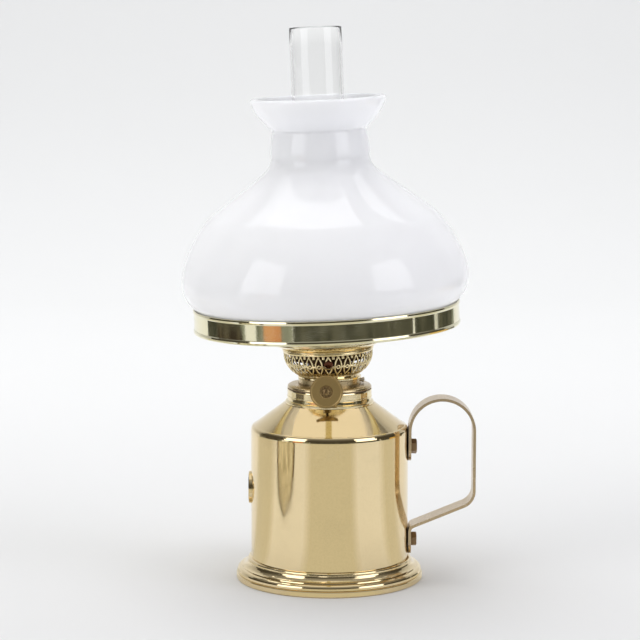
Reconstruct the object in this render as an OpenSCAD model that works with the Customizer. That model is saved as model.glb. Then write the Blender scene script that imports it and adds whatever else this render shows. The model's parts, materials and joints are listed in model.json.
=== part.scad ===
// Kerosene table lamp: a round brass oil font with a side handle, a round-wick burner, a glass chimney
// and an opal glass shade on a ring. The origin is the middle of the foot, on the table. The handle
// points along +X and the wick knob along -Y. The gallery, the chimney and the shade lean a little.

/* [Foot] */
// How far the foot's rim stands out of the font
foot_out = 8.4; // [7:0.1:14]
// Height of the foot from the table to its top edge
foot_h = 12.4; // [11.8:0.1:16]
// Height of the plain band round the rim
foot_band_h = 3.3; // [2.6:0.1:3.8]
// Thickness of the foot's brass
foot_wall = 1.2; // [0.9:0.1:1.5]
// Thickness of the plate that closes the foot
base_plate_t = 1; // [0.8:0.1:1.6]

/* [Font] */
// Outside width of the font's cylinder
font_d = 89; // [84:0.1:92]
// Height of the cylinder that shows between the foot and the shoulder
font_h = 71.6; // [60:0.1:95]
// Thickness of the font's brass
font_wall = 1; // [0.8:0.1:1.4]
// Height of the oil space's floor above the table
floor_z = 5; // [4:0.1:9]
// Height of the rounded edge between cylinder and cone
edge_h = 3.8; // [3.2:0.1:5]
// Height of the cone above its rounded edge
shoulder_h = 12.6; // [9:0.1:20]

/* [Collar] */
// Width of the collar's lip, which lies on the cone
lip_d = 50; // [48.6:0.1:54]
// Width of the collar's band
collar_d = 47.8; // [46.4:0.1:48.4]
// Height of the collar
collar_h = 8.3; // [7.6:0.1:12]
// Width of the threaded bore
thread_d = 41; // [38:0.1:42]
// Thickness of the sealing ring
gasket_t = 0.6; // [0.4:0.1:1.2]

/* [Burner] */
// Width of the burner's cap
cap_d = 47.4; // [45:0.1:48]
// Height of the burner's cap
cap_h = 2.2; // [1.8:0.1:3]
// Depth of the threaded skirt below the cap
skirt_h = 6.6; // [5:0.1:9]
// Thickness of the burner's brass
burner_wall = 0.8; // [0.6:0.1:1.1]
// Width of the neck
neck_d = 35; // [33.4:0.1:37]
// Height of the neck
neck_h = 4.8; // [4:0.1:8]
// Width of the catch's shank on the right of the neck
catch_d = 2; // [1.6:0.1:2.4]
// How far the neck's bead stands out
neck_bead = 0.35; // [0.2:0.05:0.6]
// Width of the spigot that centres the gallery
spigot_d = 28; // [27:0.1:28.6]
// Height of the spigot
spigot_h = 2; // [1.5:0.1:3]
// Width of the outer wick tube
wick_tube_d = 24.4; // [24:0.1:25]
// Height of the outer wick tube above the neck
wick_tube_up = 33.7; // [28:0.1:38]
// Thickness of the outer wick tube
wick_tube_wall = 0.6; // [0.5:0.05:0.8]
// Thickness of the wick
wick_t = 2; // [1.6:0.1:2.2]
// Half of the angle where the wick's two edges leave a gap
wick_gap_angle = 30; // [28:1:36]
// Height of the wick's lower end above the floor of the oil space
wick_end_up = 17; // [14:0.5:30]
// How far the wick stands out of its tube
wick_out = 1; // [0.5:0.1:2]
// Thickness of the inner air tube
air_tube_wall = 0.5; // [0.4:0.05:0.7]
// Width of the side duct that feeds the air tube
duct_w = 8; // [6:0.1:8.2]
// Height of the side duct
duct_h = 8; // [6:0.1:10]

/* [Wick raiser] */
// Height of the shaft above the burner's lower face
spindle_up = 2.3; // [2.2:0.1:2.6]
// Width of the shaft
spindle_d = 2.2; // [1.8:0.1:2.4]
// Sideways place of the shaft, left of the burner's middle
spindle_left = 1.9; // [1.6:0.1:2.1]
// Width of the bush
bush_d = 4.2; // [3.8:0.1:4.3]
// Distance from the burner's middle to the bush's outer end
bush_end = 25; // [24.6:0.1:26]
// Width of the gland nut over its flats
gland_af = 6; // [5.2:0.1:6.2]
// Length of the gland nut
gland_t = 3.2; // [2.6:0.1:3.4]
// Width of the knob
knob_d = 18.3; // [15:0.1:19]
// Thickness of the knob
knob_t = 1.8; // [1.5:0.1:2.4]
// Distance from the burner's middle to the knob's front face
knob_front = 33; // [32.4:0.1:38]
// Width of the dished middle of the knob
knob_dish_d = 7.6; // [6.6:0.1:9]
// Number of teeth on each claw wheel
claw_teeth = 14; // [10:1:18]
// Thickness of each claw wheel
claw_t = 1; // [0.8:0.1:1.2]
// Distance from each claw wheel's middle to the burner's middle
claw_apart = 1.9; // [1.6:0.1:2.4]

/* [Gallery] */
// Lean of the gallery, the chimney and the shade, as photographed; 0 is upright
gallery_lean = 2.3; // [0:0.1:2.6]
// How far below the neck's top the lean turns
lean_drop = 6.3; // [0:0.1:12]
// Width of the basket at its top
basket_d = 50.4; // [49:0.1:54]
// Width of the basket at its foot
basket_foot_d = 35.8; // [34:0.1:38]
// Height of the basket
basket_h = 13.9; // [12:0.1:17]
// Thickness of the basket's brass
basket_wall = 0.7; // [0.5:0.05:0.9]
// Width of the hole in the basket's foot
basket_hole_d = 30; // [29.6:0.1:31]
// Width of the pressed-in dimple at the front of the basket
dimple_w = 4.6; // [3.6:0.1:5]
// Number of ovals round the basket
ovals = 28; // [20:1:32]
// Width of the gallery's flared rim
rim_d = 62.4; // [60:0.1:66]
// Height of the flared rim above the basket
rim_h = 4.4; // [4.2:0.1:6]
// Thickness of the flared rim
rim_wall = 0.9; // [0.7:0.1:1.1]
// Number of spring tongues round the chimney
tongues = 6; // [4:1:8]
// Height of the tongues above the basket
tongue_h = 9; // [6:0.1:14]
// Width of each slot between two tongues
tongue_gap = 6; // [3:0.5:8]
// Depth of the chimney's seat below the basket's top
seat_drop = 4.8; // [4:0.1:5.4]

/* [Chimney] */
// Width of the chimney's wide foot
chimney_foot_d = 38.6; // [37:0.1:39.6]
// Height of the wide foot
chimney_foot_h = 30; // [28:0.1:36]
// Width of the chimney's waist
waist_d = 27; // [26:0.1:28]
// Width of the chimney's tube
chimney_d = 29.2; // [28.4:0.1:32]
// Height of the whole chimney
chimney_h = 184.9; // [160:0.1:230]
// Thickness of the chimney's glass
chimney_wall = 1.6; // [1.3:0.1:2]

/* [Shade ring] */
// Outside width of the shade ring
ring_d = 150; // [146:0.1:160]
// Height of the shade ring
ring_h = 13.4; // [11:0.1:16]
// Thickness of the shade ring's wall
ring_wall = 1.1; // [0.9:0.1:1.5]
// Height of the ring's lower edge above the gallery's rim
ring_up = 7.5; // [6:0.1:14]
// Width of the inner ledge that carries the shade
ledge_w = 7.4; // [5:0.1:10]
// Thickness of the ledge, the arms and the hub
arm_t = 0.9; // [0.7:0.1:1.2]
// Width of the three arms
arm_w = 8; // [6:0.1:12]
// Direction of the first arm, turned from the handle
arm_angle = 30; // [0:1:119]
// How far the hub ring stands out past the gallery's rim
hub_out = 1.8; // [0.5:0.1:5]
// Width of the arms' rivets
rivet_d = 2.6; // [2:0.1:3]

/* [Shade] */
// Height of the shade's straight foot, which stands inside the ring
fitter_h = 10.4; // [9:0.1:13]
// Greatest width of the shade
shade_d = 161.2; // [156:0.1:176]
// Height of the widest place above the straight foot
belly_up = 14.6; // [10:0.1:20]
// How far the flank has drawn in where the shoulder starts
hip_in = 15.3; // [12:0.1:20]
// Depth of the shoulder's start below the top
hip_drop = 66.9; // [60:0.1:72]
// Width of the shade's neck
shade_neck_d = 54.6; // [50:0.1:64]
// How far the shoulder's end stands out of the neck
shoulder_out = 7; // [5:0.1:10]
// Depth of the shoulder's end below the top
shoulder_drop = 42.9; // [39:0.1:50]
// Depth of the neck's lower bead below the top
neck_drop = 33.4; // [29:0.1:36]
// Height of the flared top above the neck
flare_h = 17.4; // [12:0.1:22]
// Width of the shade's flared top
shade_top_d = 75.8; // [70:0.1:90]
// Height of the whole shade
shade_h = 126; // [110:0.1:150]
// Thickness of the opal glass
shade_wall = 2.6; // [2:0.1:3]

/* [Handle] */
// Width of the handle's strip
handle_w = 15.5; // [12:0.1:18]
// Thickness of the handle's strip
handle_t = 1.6; // [1.2:0.1:2.2]
// Reach of the handle from the font's wall
handle_reach = 38.1; // [34:0.1:46]
// Distance of the upper bolt below the cylinder's top
bolt_drop = 8.8; // [8.6:0.1:14]
// Height of the lower bolt above the foot
bolt_low = 9.2; // [9:0.1:14]
// Height of the arch's middle above the upper bolt
arch_up = 9.4; // [7:0.1:14]
// Height of the outer corner above the lower bolt
corner_up = 22.1; // [20:0.1:28]
// Slope of the handle's lower leg
leg_slope = 22.2; // [18:0.1:24]
// Outer radius of the handle's lower corner
corner_r = 10; // [8:0.1:12]
// Radius of the bend where the leg meets the font
bend_r = 4; // [3:0.1:5]
// Length of the strip past each bolt
tab = 8.2; // [8:0.1:9]
// Width of the bolts' shanks
bolt_d = 4.8; // [4:0.1:5.2]
// Width of the bolts' heads over their flats
bolt_af = 7.4; // [7:0.1:8.2]
// Thickness of the bolts' heads
bolt_head_t = 3.3; // [2.8:0.1:3.8]
// Depth of the bosses inside the font
boss_t = 6; // [5:0.1:8]

/* [Badge] */
// Width of the badge
badge_d = 18.5; // [12:0.1:22]
// Height of the badge's middle above the foot
badge_up = 39.2; // [25:0.1:50]
// How far the badge stands out of the font
badge_t = 1.3; // [0.8:0.1:2]

/* [Fits] */
// Radial clearance of the threads and shafts
run_gap = 0.06; // [0.03:0.01:0.09]
// Clearance between the wick and each tube
wick_gap = 0.3; // [0.25:0.05:0.4]
// Clearance between the chimney's foot and the spring tongues
glass_gap = 0.5; // [0.4:0.05:0.7]
// Clearance between the shade's straight foot and the ring
fitter_gap = 0.6; // [0.4:0.1:1.5]
// Clearance under what can be lifted off
rest_gap = 0.15; // [0.1:0.05:0.3]
// Gap between the claws' tips and the wick
claw_gap = 0.1; // [0.05:0.05:0.2]

/* [Hidden] */
$fn = 96;
CURVE = 10;
font_r = font_d / 2;
foot_r = font_r + foot_out;
font_in = font_r - font_wall;
lip_r = lip_d / 2;
collar_r = collar_d / 2;
thread_r = thread_d / 2;
skirt_r = thread_r - run_gap;
cap_r = cap_d / 2;
neck_r = neck_d / 2;
wick_tube_r = wick_tube_d / 2;
wick_r = wick_tube_r - wick_tube_wall - wick_gap;
wick_in = wick_r - wick_t;
air_tube_r = wick_in - wick_gap;
basket_r = basket_d / 2;
basket_foot_r = basket_foot_d / 2;
rim_r = rim_d / 2;
chimney_foot_r = chimney_foot_d / 2;
holder_in = chimney_foot_r + glass_gap;
ring_r = ring_d / 2;
ring_in = ring_r - ring_wall;
hub_r = rim_r + hub_out;
knob_r = knob_d / 2;

font_top = foot_h + font_h;
edge_top = font_top + edge_h;
shoulder_top = edge_top + shoulder_h;
collar_top = shoulder_top + collar_h;
cap_z = collar_top + gasket_t;
neck_z = cap_z + cap_h;
deck_z = neck_z + neck_h;
skirt_z = cap_z - skirt_h;
burner_deck_t = 1;
spindle_z = cap_z + spindle_up;
catch_z = neck_z + 1.9;
wick_tube_low = skirt_z - 1.5;
wick_tube_top = deck_z + wick_tube_up;
wick_top = wick_tube_top + wick_out;
wick_low = floor_z + font_wall + wick_end_up;
claw_r = sqrt(pow(wick_in, 2) - pow(claw_apart + claw_t / 2, 2)) - spindle_left - claw_gap;
air_floor_z = spindle_z + claw_r + 0.8;
duct_z = air_floor_z + 0.8;

lean_z = deck_z - lean_drop;
basket_z = deck_z + (neck_r + neck_bead) * sin(gallery_lean) + 0.1;
basket_top = basket_z + basket_h;
seat_z = basket_top - seat_drop;
seat_t = 0.6;
holder_wall = 0.6;
rim_z = basket_top + seat_t;
rim_top = rim_z + rim_h;
chimney_z = seat_z + rest_gap;
chimney_top = chimney_z + chimney_h;
hub_z = rim_top + rest_gap;
ring_z = rim_top + ring_up;
ledge_z = ring_z + 1.5;
shade_z = ledge_z + arm_t + rest_gap;
shade_top = shade_z + shade_h;

handle_x = font_r + 0.1;
handle_out = font_r + handle_reach;
arch_r = (handle_out - handle_x) / 2;
arch_x = handle_x + arch_r;
bolt_high_z = font_top - bolt_drop;
bolt_low_z = foot_h + bolt_low;
arch_z = bolt_high_z + arch_up;
corner_z = bolt_low_z + corner_up;
leg_turn = 90 - leg_slope;
corner_tan = corner_r * tan(leg_turn / 2);
bend_tan = bend_r * tan(leg_turn / 2);
// Height where the leg's upper face would meet the font
leg_z = corner_z - (handle_out - handle_x) * tan(leg_slope) + handle_t / cos(leg_slope);

// Point at t on the smooth curve with end points a and d and handles b and c
function bend(a, b, c, d, t) =
    pow(1 - t, 3) * a + 3 * t * pow(1 - t, 2) * b + 3 * t * t * (1 - t) * c + pow(t, 3) * d;

// Points along that curve, without its last one
function curve(a, b, c, d, n = CURVE) = [for (i = [0:n - 1]) bend(a, b, c, d, i / n)];

// Smooth curve from a to d in n points; its handles are shares of the way between them, in each direction
function sweep(a, d, start, end, n) =
    let (way = d - a)
    curve(a, a + [way[0] * start[0], way[1] * start[1]], d - [way[0] * end[0], way[1] * end[1]], d, n);

// Unit normal of a path of points at point i, to the left of its direction
function left_of(path, i) =
    let (p = path[max(i - 1, 0)])
    let (q = path[min(i + 1, len(path) - 1)])
    let (d = q - p)
    [-d[1], d[0]] / norm(d);

// The same path moved sideways by w and run backwards
function back_wall(path, w) = [for (i = [len(path) - 1:-1:0]) path[i] + w * left_of(path, i)];

// A thin wall of thickness w to the left of a path of radius and height
module spun_wall(path, w) {
    rotate_extrude()
        polygon(concat(path, back_wall(path, w)));
}

module ring(outer, inner, low, high) {
    translate([0, 0, low])
        difference() {
            cylinder(r = outer, h = high - low);
            translate([0, 0, -1])
                cylinder(r = inner, h = high - low + 2);
        }
}

// A rod along Y from y = near to y = far, at the wick raiser's shaft
module spindle_rod(r, near, far) {
    translate([-spindle_left, near, spindle_z])
        rotate([-90, 0, 0])
            cylinder(r = r, h = far - near);
}

// What leans with the gallery
module leaning() {
    translate([0, 0, lean_z])
        rotate([0, -gallery_lean, 0])
            translate([0, 0, -lean_z])
                children();
}

module foot() {
    bead_low = foot_h - 1.6;
    cove_low = foot_h - 4.9;
    outer = concat(
        curve([font_r, foot_h], [font_r + 1.2, foot_h], [font_r + 1.8, foot_h - 0.5],
            [font_r + 1.8, bead_low], 5),
        [[font_r + 1.8, bead_low]],
        curve([font_r + 2.1, bead_low - 0.3], [font_r + 2.5, foot_h - 3.4], [font_r + 3.6, cove_low + 0.3],
            [font_r + 5, cove_low], 6),
        [[font_r + 5, cove_low]],
        curve([font_r + 5.2, cove_low - 0.5], [font_r + 6.6, cove_low - 0.5],
            [foot_r - 0.5, cove_low - 1.4], [foot_r - 0.5, foot_band_h + 0.8], 6),
        [[foot_r - 0.5, foot_band_h + 0.6], [foot_r - 0.9, foot_band_h + 0.3],
            [foot_r - 0.3, foot_band_h], [foot_r, foot_band_h - 0.4], [foot_r, 0.5], [foot_r - 0.5, 0]]);
    inner_r = foot_r - foot_wall;
    inner = [[inner_r, 0], [inner_r, foot_band_h - 0.5], [inner_r - 0.8, foot_band_h + 0.4],
        [font_r + 4.6, cove_low - foot_wall - 0.6], [font_r + 1.6, cove_low - foot_wall + 0.6],
        [font_r, cove_low - foot_wall + 1.4]];
    color("gold")
        rotate_extrude()
            polygon(concat(outer, inner));
}

module base_plate() {
    color("darkgoldenrod")
        cylinder(r = foot_r - foot_wall, h = base_plate_t);
}

module bolt_holes(r) {
    for (z = [bolt_low_z, bolt_high_z])
        translate([font_in - 3, 0, z])
            rotate([0, 90, 0])
                cylinder(r = r, h = 12);
}

module font_cylinder() {
    color("gold")
        difference() {
            ring(font_r, font_in, base_plate_t, font_top);
            bolt_holes(bolt_d / 2 + run_gap);
        }
}

module font_floor() {
    rim = 3;
    color("gold")
        rotate_extrude()
            polygon([[0, floor_z], [font_in - 1, floor_z], [font_in - 0.9, floor_z - rim + font_wall],
                [font_in, floor_z - rim + font_wall], [font_in, floor_z + font_wall],
                [0, floor_z + font_wall]]);
}

module font_shoulder() {
    hole_r = thread_r + 1.2;
    spigot_low = font_top - 4;
    outer = concat(
        curve([font_r, font_top], [font_r + 0.1, font_top + 1.3], [font_r - 0.2, edge_top - 0.4],
            [font_r - 1.6, edge_top], 6),
        [[font_r - 1.6, edge_top], [font_r - 1.9, edge_top + 0.1], [lip_r + 0.6, shoulder_top],
            [hole_r, shoulder_top]]);
    inner = [[hole_r, shoulder_top - font_wall], [lip_r + 0.3, shoulder_top - font_wall],
        [font_in - 1.8, edge_top - 1], [font_in - font_wall, font_top + 0.6],
        [font_in - font_wall, spigot_low], [font_in, spigot_low], [font_in, font_top]];
    color("gold")
        rotate_extrude()
            polygon(concat(outer, inner));
}

module font_collar() {
    z = shoulder_top;
    hole_r = thread_r + 1.2;
    color("gold")
        rotate_extrude()
            polygon([[thread_r, z - 2], [hole_r, z - 2], [hole_r, z], [lip_r, z], [lip_r, z + 1],
                [lip_r - 0.3, z + 1.5], [collar_r - 0.2, z + 2], [collar_r - 0.3, z + 3.3],
                [collar_r + 0.1, z + 3.7], [collar_r + 0.1, z + 4.3], [collar_r - 0.1, z + 4.6],
                [collar_r - 0.1, collar_top - 0.9], [collar_r + 0.05, collar_top - 0.6],
                [collar_r - 0.1, collar_top], [thread_r, collar_top]]);
}

module badge() {
    r = badge_d / 2;
    out = font_r + badge_t;
    color("gold")
        difference() {
            translate([0, 0, foot_h + badge_up])
                rotate([0, -90, 0])
                    rotate_extrude()
                        polygon([[0, font_in - 1], [r, font_in - 1], [r, out - 0.4], [r - 0.4, out],
                            [r - 1.4, out], [r - 1.8, out - 0.35], [0, out - 0.35]]);
            cylinder(r = font_r, h = font_top, $fn = 360);
        }
}

// Points on an arc about m, from angle a to angle b in n steps
function arc(m, r, a, b, n) =
    [for (i = [0:n]) m + r * [cos(a + (b - a) * i / n), sin(a + (b - a) * i / n)]];

module handle() {
    half = handle_w / 2;
    low_end = bolt_low_z - tab + half;
    high_end = bolt_high_z - tab + half;
    arch_mid = [arch_x, arch_z];
    corner_mid = [handle_out - corner_r, corner_z + corner_tan];
    bend_mid = [handle_x + bend_r, leg_z - bend_tan];
    // The face towards the fingers, from the lower end to the upper one
    near_face = concat([[handle_x, low_end]],
        arc(bend_mid, bend_r, 180, 90 + leg_slope, 8),
        arc(corner_mid, corner_r - handle_t, leg_slope - 90, 0, 12),
        arc(arch_mid, arch_r - handle_t, 0, 180, 36),
        [[handle_x + handle_t, high_end]]);
    far_face = concat([[handle_x, high_end]],
        arc(arch_mid, arch_r, 180, 0, 36),
        arc(corner_mid, corner_r, 0, leg_slope - 90, 12),
        arc(bend_mid, bend_r - handle_t, 90 + leg_slope, 180, 8),
        [[handle_x + handle_t, low_end]]);
    color("goldenrod")
        difference() {
            union() {
                translate([0, half, 0])
                    rotate([90, 0, 0])
                        linear_extrude(handle_w)
                            polygon(concat(near_face, far_face));
                for (z = [low_end, high_end])
                    translate([handle_x, 0, z])
                        rotate([0, 90, 0])
                            cylinder(r = half, h = handle_t);
            }
            bolt_holes(bolt_d / 2 + run_gap);
        }
}

module handle_bolts() {
    head_x = handle_x + handle_t;
    shank_x = font_in - boss_t + 1.4;
    color("darkgoldenrod")
        for (bolt = [[bolt_low_z, 12], [bolt_high_z, 0]])
            translate([0, 0, bolt[0]])
                rotate([bolt[1], 0, 0]) {
                    translate([shank_x, 0, 0])
                        rotate([0, 90, 0])
                            cylinder(r = bolt_d / 2, h = head_x + 1 - shank_x);
                    intersection() {
                        translate([head_x, 0, 0])
                            rotate([0, 90, 0])
                                cylinder(r = bolt_af / 2 / cos(30), h = bolt_head_t, $fn = 6);
                        translate([head_x - 1, 0, 0])
                            rotate([0, 90, 0])
                                rotate_extrude()
                                    polygon([[0, 0], [bolt_af, 0], [bolt_af, 2],
                                        [bolt_af / 2 - 0.3, bolt_head_t + 1], [0, bolt_head_t + 1]]);
                    }
                }
}

module handle_bosses() {
    color("goldenrod")
        for (z = [bolt_low_z, bolt_high_z])
            difference() {
                intersection() {
                    translate([font_in - boss_t, 0, z])
                        rotate([0, 90, 0])
                            cylinder(r = bolt_d / 2 + 2, h = boss_t + 2);
                    cylinder(r = font_in, h = font_top);
                }
                translate([font_in - boss_t + 1, 0, z])
                    rotate([0, 90, 0])
                        cylinder(r = bolt_d / 2 + run_gap, h = boss_t + 2);
            }
}

module burner_gasket() {
    color("sienna")
        ring(collar_r - 0.4, thread_r + 0.3, collar_top, cap_z);
}

module burner_base() {
    in_r = skirt_r - 1.2;
    neck_in = neck_r - burner_wall;
    outer = concat([[wick_tube_r, skirt_z], [skirt_r, skirt_z], [skirt_r, cap_z], [cap_r, cap_z]],
        curve([cap_r, cap_z + 0.4], [cap_r, neck_z - 0.4], [cap_r - 1.8, neck_z],
            [neck_r + 0.8, neck_z], 6));
    inner = [[neck_r, neck_z], [neck_in, neck_z], [neck_in, neck_z - 0.7], [in_r, cap_z + 0.6],
        [in_r, skirt_z + burner_deck_t], [wick_tube_r, skirt_z + burner_deck_t]];
    color("gold")
        difference() {
            rotate_extrude()
                polygon(concat(outer, inner));
            spindle_rod(bush_d / 2, -bush_end, 0);
        }
}

module burner_neck() {
    neck_in = neck_r - burner_wall;
    bead_r = neck_r + neck_bead;
    spigot_r = spigot_d / 2;
    color("gold")
        difference() {
            rotate_extrude()
                polygon([[neck_in, neck_z], [neck_r, neck_z], [neck_r, deck_z - 1.6],
                    [bead_r, deck_z - 1.2], [bead_r, deck_z - 0.3], [neck_r, deck_z],
                    [spigot_r, deck_z], [spigot_r, deck_z + spigot_h],
                    [spigot_r - burner_wall, deck_z + spigot_h], [spigot_r - burner_wall, deck_z],
                    [wick_tube_r, deck_z], [wick_tube_r, deck_z - 0.9], [neck_in, deck_z - 0.9]]);
            spindle_rod(bush_d / 2, -bush_end, 0);
            catch_shank();
        }
}

// The block that the side duct fills, out to the wick tube's outer face
module duct_block(inset) {
    intersection() {
        translate([-duct_w / 2 + inset, -wick_tube_r - 1, duct_z + inset])
            cube([duct_w - 2 * inset, wick_tube_r + 1, duct_h - 2 * inset]);
        cylinder(r = wick_tube_r, h = wick_tube_top);
    }
}

module wick_tube() {
    color("goldenrod")
        difference() {
            ring(wick_tube_r, wick_tube_r - wick_tube_wall, wick_tube_low, wick_tube_top);
            duct_block(0);
            spindle_rod(spindle_d / 2 + 0.3, -bush_end, -wick_in);
        }
}

module air_tube() {
    air_in = air_tube_r - air_tube_wall;
    color("goldenrod")
        difference() {
            union() {
                translate([0, 0, air_floor_z])
                    cylinder(r = air_tube_r, h = wick_tube_top - air_floor_z);
                duct_block(0);
            }
            translate([0, 0, air_floor_z + air_tube_wall])
                cylinder(r = air_in, h = wick_tube_top);
            translate([-duct_w / 2 + air_tube_wall, -wick_tube_r - 1, duct_z + air_tube_wall])
                cube([duct_w - 2 * air_tube_wall, wick_tube_r + 1, duct_h - 2 * air_tube_wall]);
        }
}

module wick() {
    far = 2 * wick_r;
    color("ivory")
        difference() {
            ring(wick_r, wick_in, wick_low, wick_top);
            translate([0, 0, wick_low - 1])
                linear_extrude(wick_top - wick_low + 2)
                    polygon([[0, 0], far * [-sin(wick_gap_angle), -cos(wick_gap_angle)],
                        far * [sin(wick_gap_angle), -cos(wick_gap_angle)]]);
        }
}

module wick_spindle() {
    color("goldenrod")
        spindle_rod(spindle_d / 2, -knob_front + 0.6, claw_apart + claw_t);
}

module claw_wheels() {
    tooth = 0.9;
    star = [for (i = [0:2 * claw_teeth - 1])
        (i % 2 == 0 ? claw_r : claw_r - tooth) * [cos(180 * i / claw_teeth), sin(180 * i / claw_teeth)]];
    color("goldenrod")
        for (y = [-claw_apart, claw_apart])
            translate([-spindle_left, y + claw_t / 2, spindle_z])
                rotate([90, 0, 0])
                    linear_extrude(claw_t)
                        difference() {
                            polygon(star);
                            circle(r = spindle_d / 2);
                        }
}

module spindle_bush() {
    color("goldenrod")
        difference() {
            spindle_rod(bush_d / 2, -bush_end, -wick_tube_r - 0.4);
            spindle_rod(spindle_d / 2 + run_gap, -bush_end - 1, 0);
        }
}

module gland_nut() {
    color("goldenrod")
        difference() {
            translate([-spindle_left, -bush_end - gland_t, spindle_z])
                rotate([-90, 0, 0])
                    cylinder(r = gland_af / 2 / cos(30), h = gland_t, $fn = 6);
            spindle_rod(spindle_d / 2 + run_gap, -bush_end - gland_t - 1, 0);
        }
}

module wick_knob() {
    dish_r = knob_dish_d / 2;
    back = knob_t;
    color("darkgoldenrod")
        translate([-spindle_left, -knob_front, spindle_z])
            rotate([-90, 0, 0])
                rotate_extrude()
                    polygon([[spindle_d / 2, 0.8], [dish_r - 0.5, 0.7], [dish_r, 0.25],
                        [knob_r - 1.2, 0.25], [knob_r - 0.8, 0], [knob_r - 0.3, 0], [knob_r, 0.3],
                        [knob_r, back - 0.3], [knob_r - 0.3, back], [dish_r, back],
                        [dish_r - 0.4, back + 0.8], [spindle_d / 2, back + 0.8]]);
}

module knob_rivet() {
    r = spindle_d / 2 + 0.7;
    color("goldenrod")
        translate([-spindle_left, -knob_front, spindle_z])
            rotate([-90, 0, 0])
                rotate_extrude()
                    polygon([[0, 0.05], [r - 0.8, 0.15], [r, 0.5], [r, 0.65], [spindle_d / 2, 0.65],
                        [spindle_d / 2, 0.6], [0, 0.6]]);
}

// The catch's shank, from inside the neck's wall to its head
module catch_shank() {
    translate([neck_r - burner_wall - 0.3, 0, catch_z])
        rotate([0, 90, 0])
            cylinder(r = catch_d / 2, h = burner_wall + 1.3);
}

module gallery_catch() {
    head = catch_d / 2 + 0.4;
    color("goldenrod") {
        catch_shank();
        translate([neck_r + 0.9, 0, catch_z])
            rotate([0, 90, 0])
                rotate_extrude()
                    polygon([[0, 0], [head - 0.2, 0], [head, 0.2], [head, 1], [head - 0.4, 1.4],
                        [0, 1.4]]);
    }
}

// Outline of the basket's outside, from its top down to its foot
function basket_path() =
    concat(curve([basket_r, basket_top], [basket_r, basket_top - 0.43 * basket_h],
        [basket_r - 1.6, basket_z + 0.245 * basket_h], [basket_foot_r, basket_z], 9),
        [[basket_foot_r, basket_z]]);

// Cuts a flat outline straight out through the basket's wall; heights are shares of the basket's height
module through_wall(angle, outline) {
    rotate([0, 0, angle])
        translate([0, -basket_foot_r + 4.2, 0])
            rotate([90, 0, 0])
                linear_extrude(basket_r - basket_foot_r + 6)
                    polygon([for (p = outline) [p[0], basket_z + p[1] * basket_h]]);
}

// The plate of the pressed-in dimple at the front of the basket
module dimple_plate() {
    translate([0, -basket_r + 1.4, basket_z + 0.57 * basket_h])
        rotate([115, 0, 0])
            cylinder(r = dimple_w / 2, h = basket_wall, center = true);
}

// The lip that stands out under the dimple
module dimple_lip() {
    lip_out = basket_r - 0.9;
    intersection() {
        ring(lip_out, lip_out - 1.2, basket_z + 0.4 * basket_h, basket_z + 0.44 * basket_h);
        translate([-dimple_w * 0.72, -basket_r, basket_z])
            cube([dimple_w * 1.44, 6, basket_h]);
    }
}

module gallery_basket() {
    pitch = 360 / ovals;
    half = PI * basket_r / ovals;
    upper_drop = [[-0.38 * half, 0.6], [0.38 * half, 0.6], [0.26 * half, 0.72], [0, 0.86],
        [-0.26 * half, 0.72]];
    lower_drop = [[-0.33 * half, 0.39], [0, 0.15], [0.33 * half, 0.39]];
    eye = [for (a = [0:60:300]) [0.17 * half * cos(a), 0.495 + 0.035 * sin(a)]];
    upper_fork = [[-0.62 * half, 0.94], [-0.2 * half, 0.94], [0, 0.87], [0.2 * half, 0.94],
        [0.62 * half, 0.94], [0.3 * half, 0.76], [0, 0.58], [-0.3 * half, 0.76]];
    lower_fork = [[-0.4 * half, 0.08], [0.4 * half, 0.08], [0.2 * half, 0.2], [0, 0.36],
        [-0.2 * half, 0.2]];
    slot_w = dimple_w / 2;
    dimple_hole = [[-1.45 * slot_w, 0.44], [1.45 * slot_w, 0.44], [0.8 * slot_w, 0.5],
        [0.8 * slot_w, 0.62], [0, 0.72], [-0.8 * slot_w, 0.62], [-0.8 * slot_w, 0.5]];
    path = basket_path();
    inside = back_wall(path, -basket_wall);
    foot_in = basket_hole_d / 2;
    color("gold") {
        difference() {
            rotate_extrude()
                polygon(concat(path, [[foot_in, basket_z], [foot_in, basket_z + basket_wall]],
                    [for (i = [1:len(inside) - 2]) inside[i]], [[basket_r - basket_wall, basket_top]]));
            through_wall(0, dimple_hole);
            for (i = [0:ovals - 1]) {
                if (i > 0) {
                    through_wall(i * pitch, upper_drop);
                    through_wall(i * pitch, eye);
                }
                through_wall(i * pitch, lower_drop);
                through_wall((i + 0.5) * pitch, upper_fork);
                through_wall((i + 0.5) * pitch, lower_fork);
            }
        }
        dimple_plate();
        dimple_lip();
    }
}

module chimney_holder() {
    out = holder_in + holder_wall;
    ledge_in = holder_in - 3.2;
    color("goldenrod")
        difference() {
            rotate_extrude()
                polygon([[ledge_in, seat_z - seat_t], [out, seat_z - seat_t], [out, basket_top],
                    [basket_r + 0.2, basket_top], [basket_r + 0.2, rim_z], [out, rim_z],
                    [out, basket_top + tongue_h], [holder_in, basket_top + tongue_h],
                    [holder_in, seat_z], [ledge_in, seat_z]]);
            for (i = [0:tongues - 1])
                rotate([0, 0, (i + 0.5) * 360 / tongues])
                    translate([holder_in - 2, -tongue_gap / 2, rim_z])
                        cube([5, tongue_gap, tongue_h + 2]);
        }
}

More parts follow.
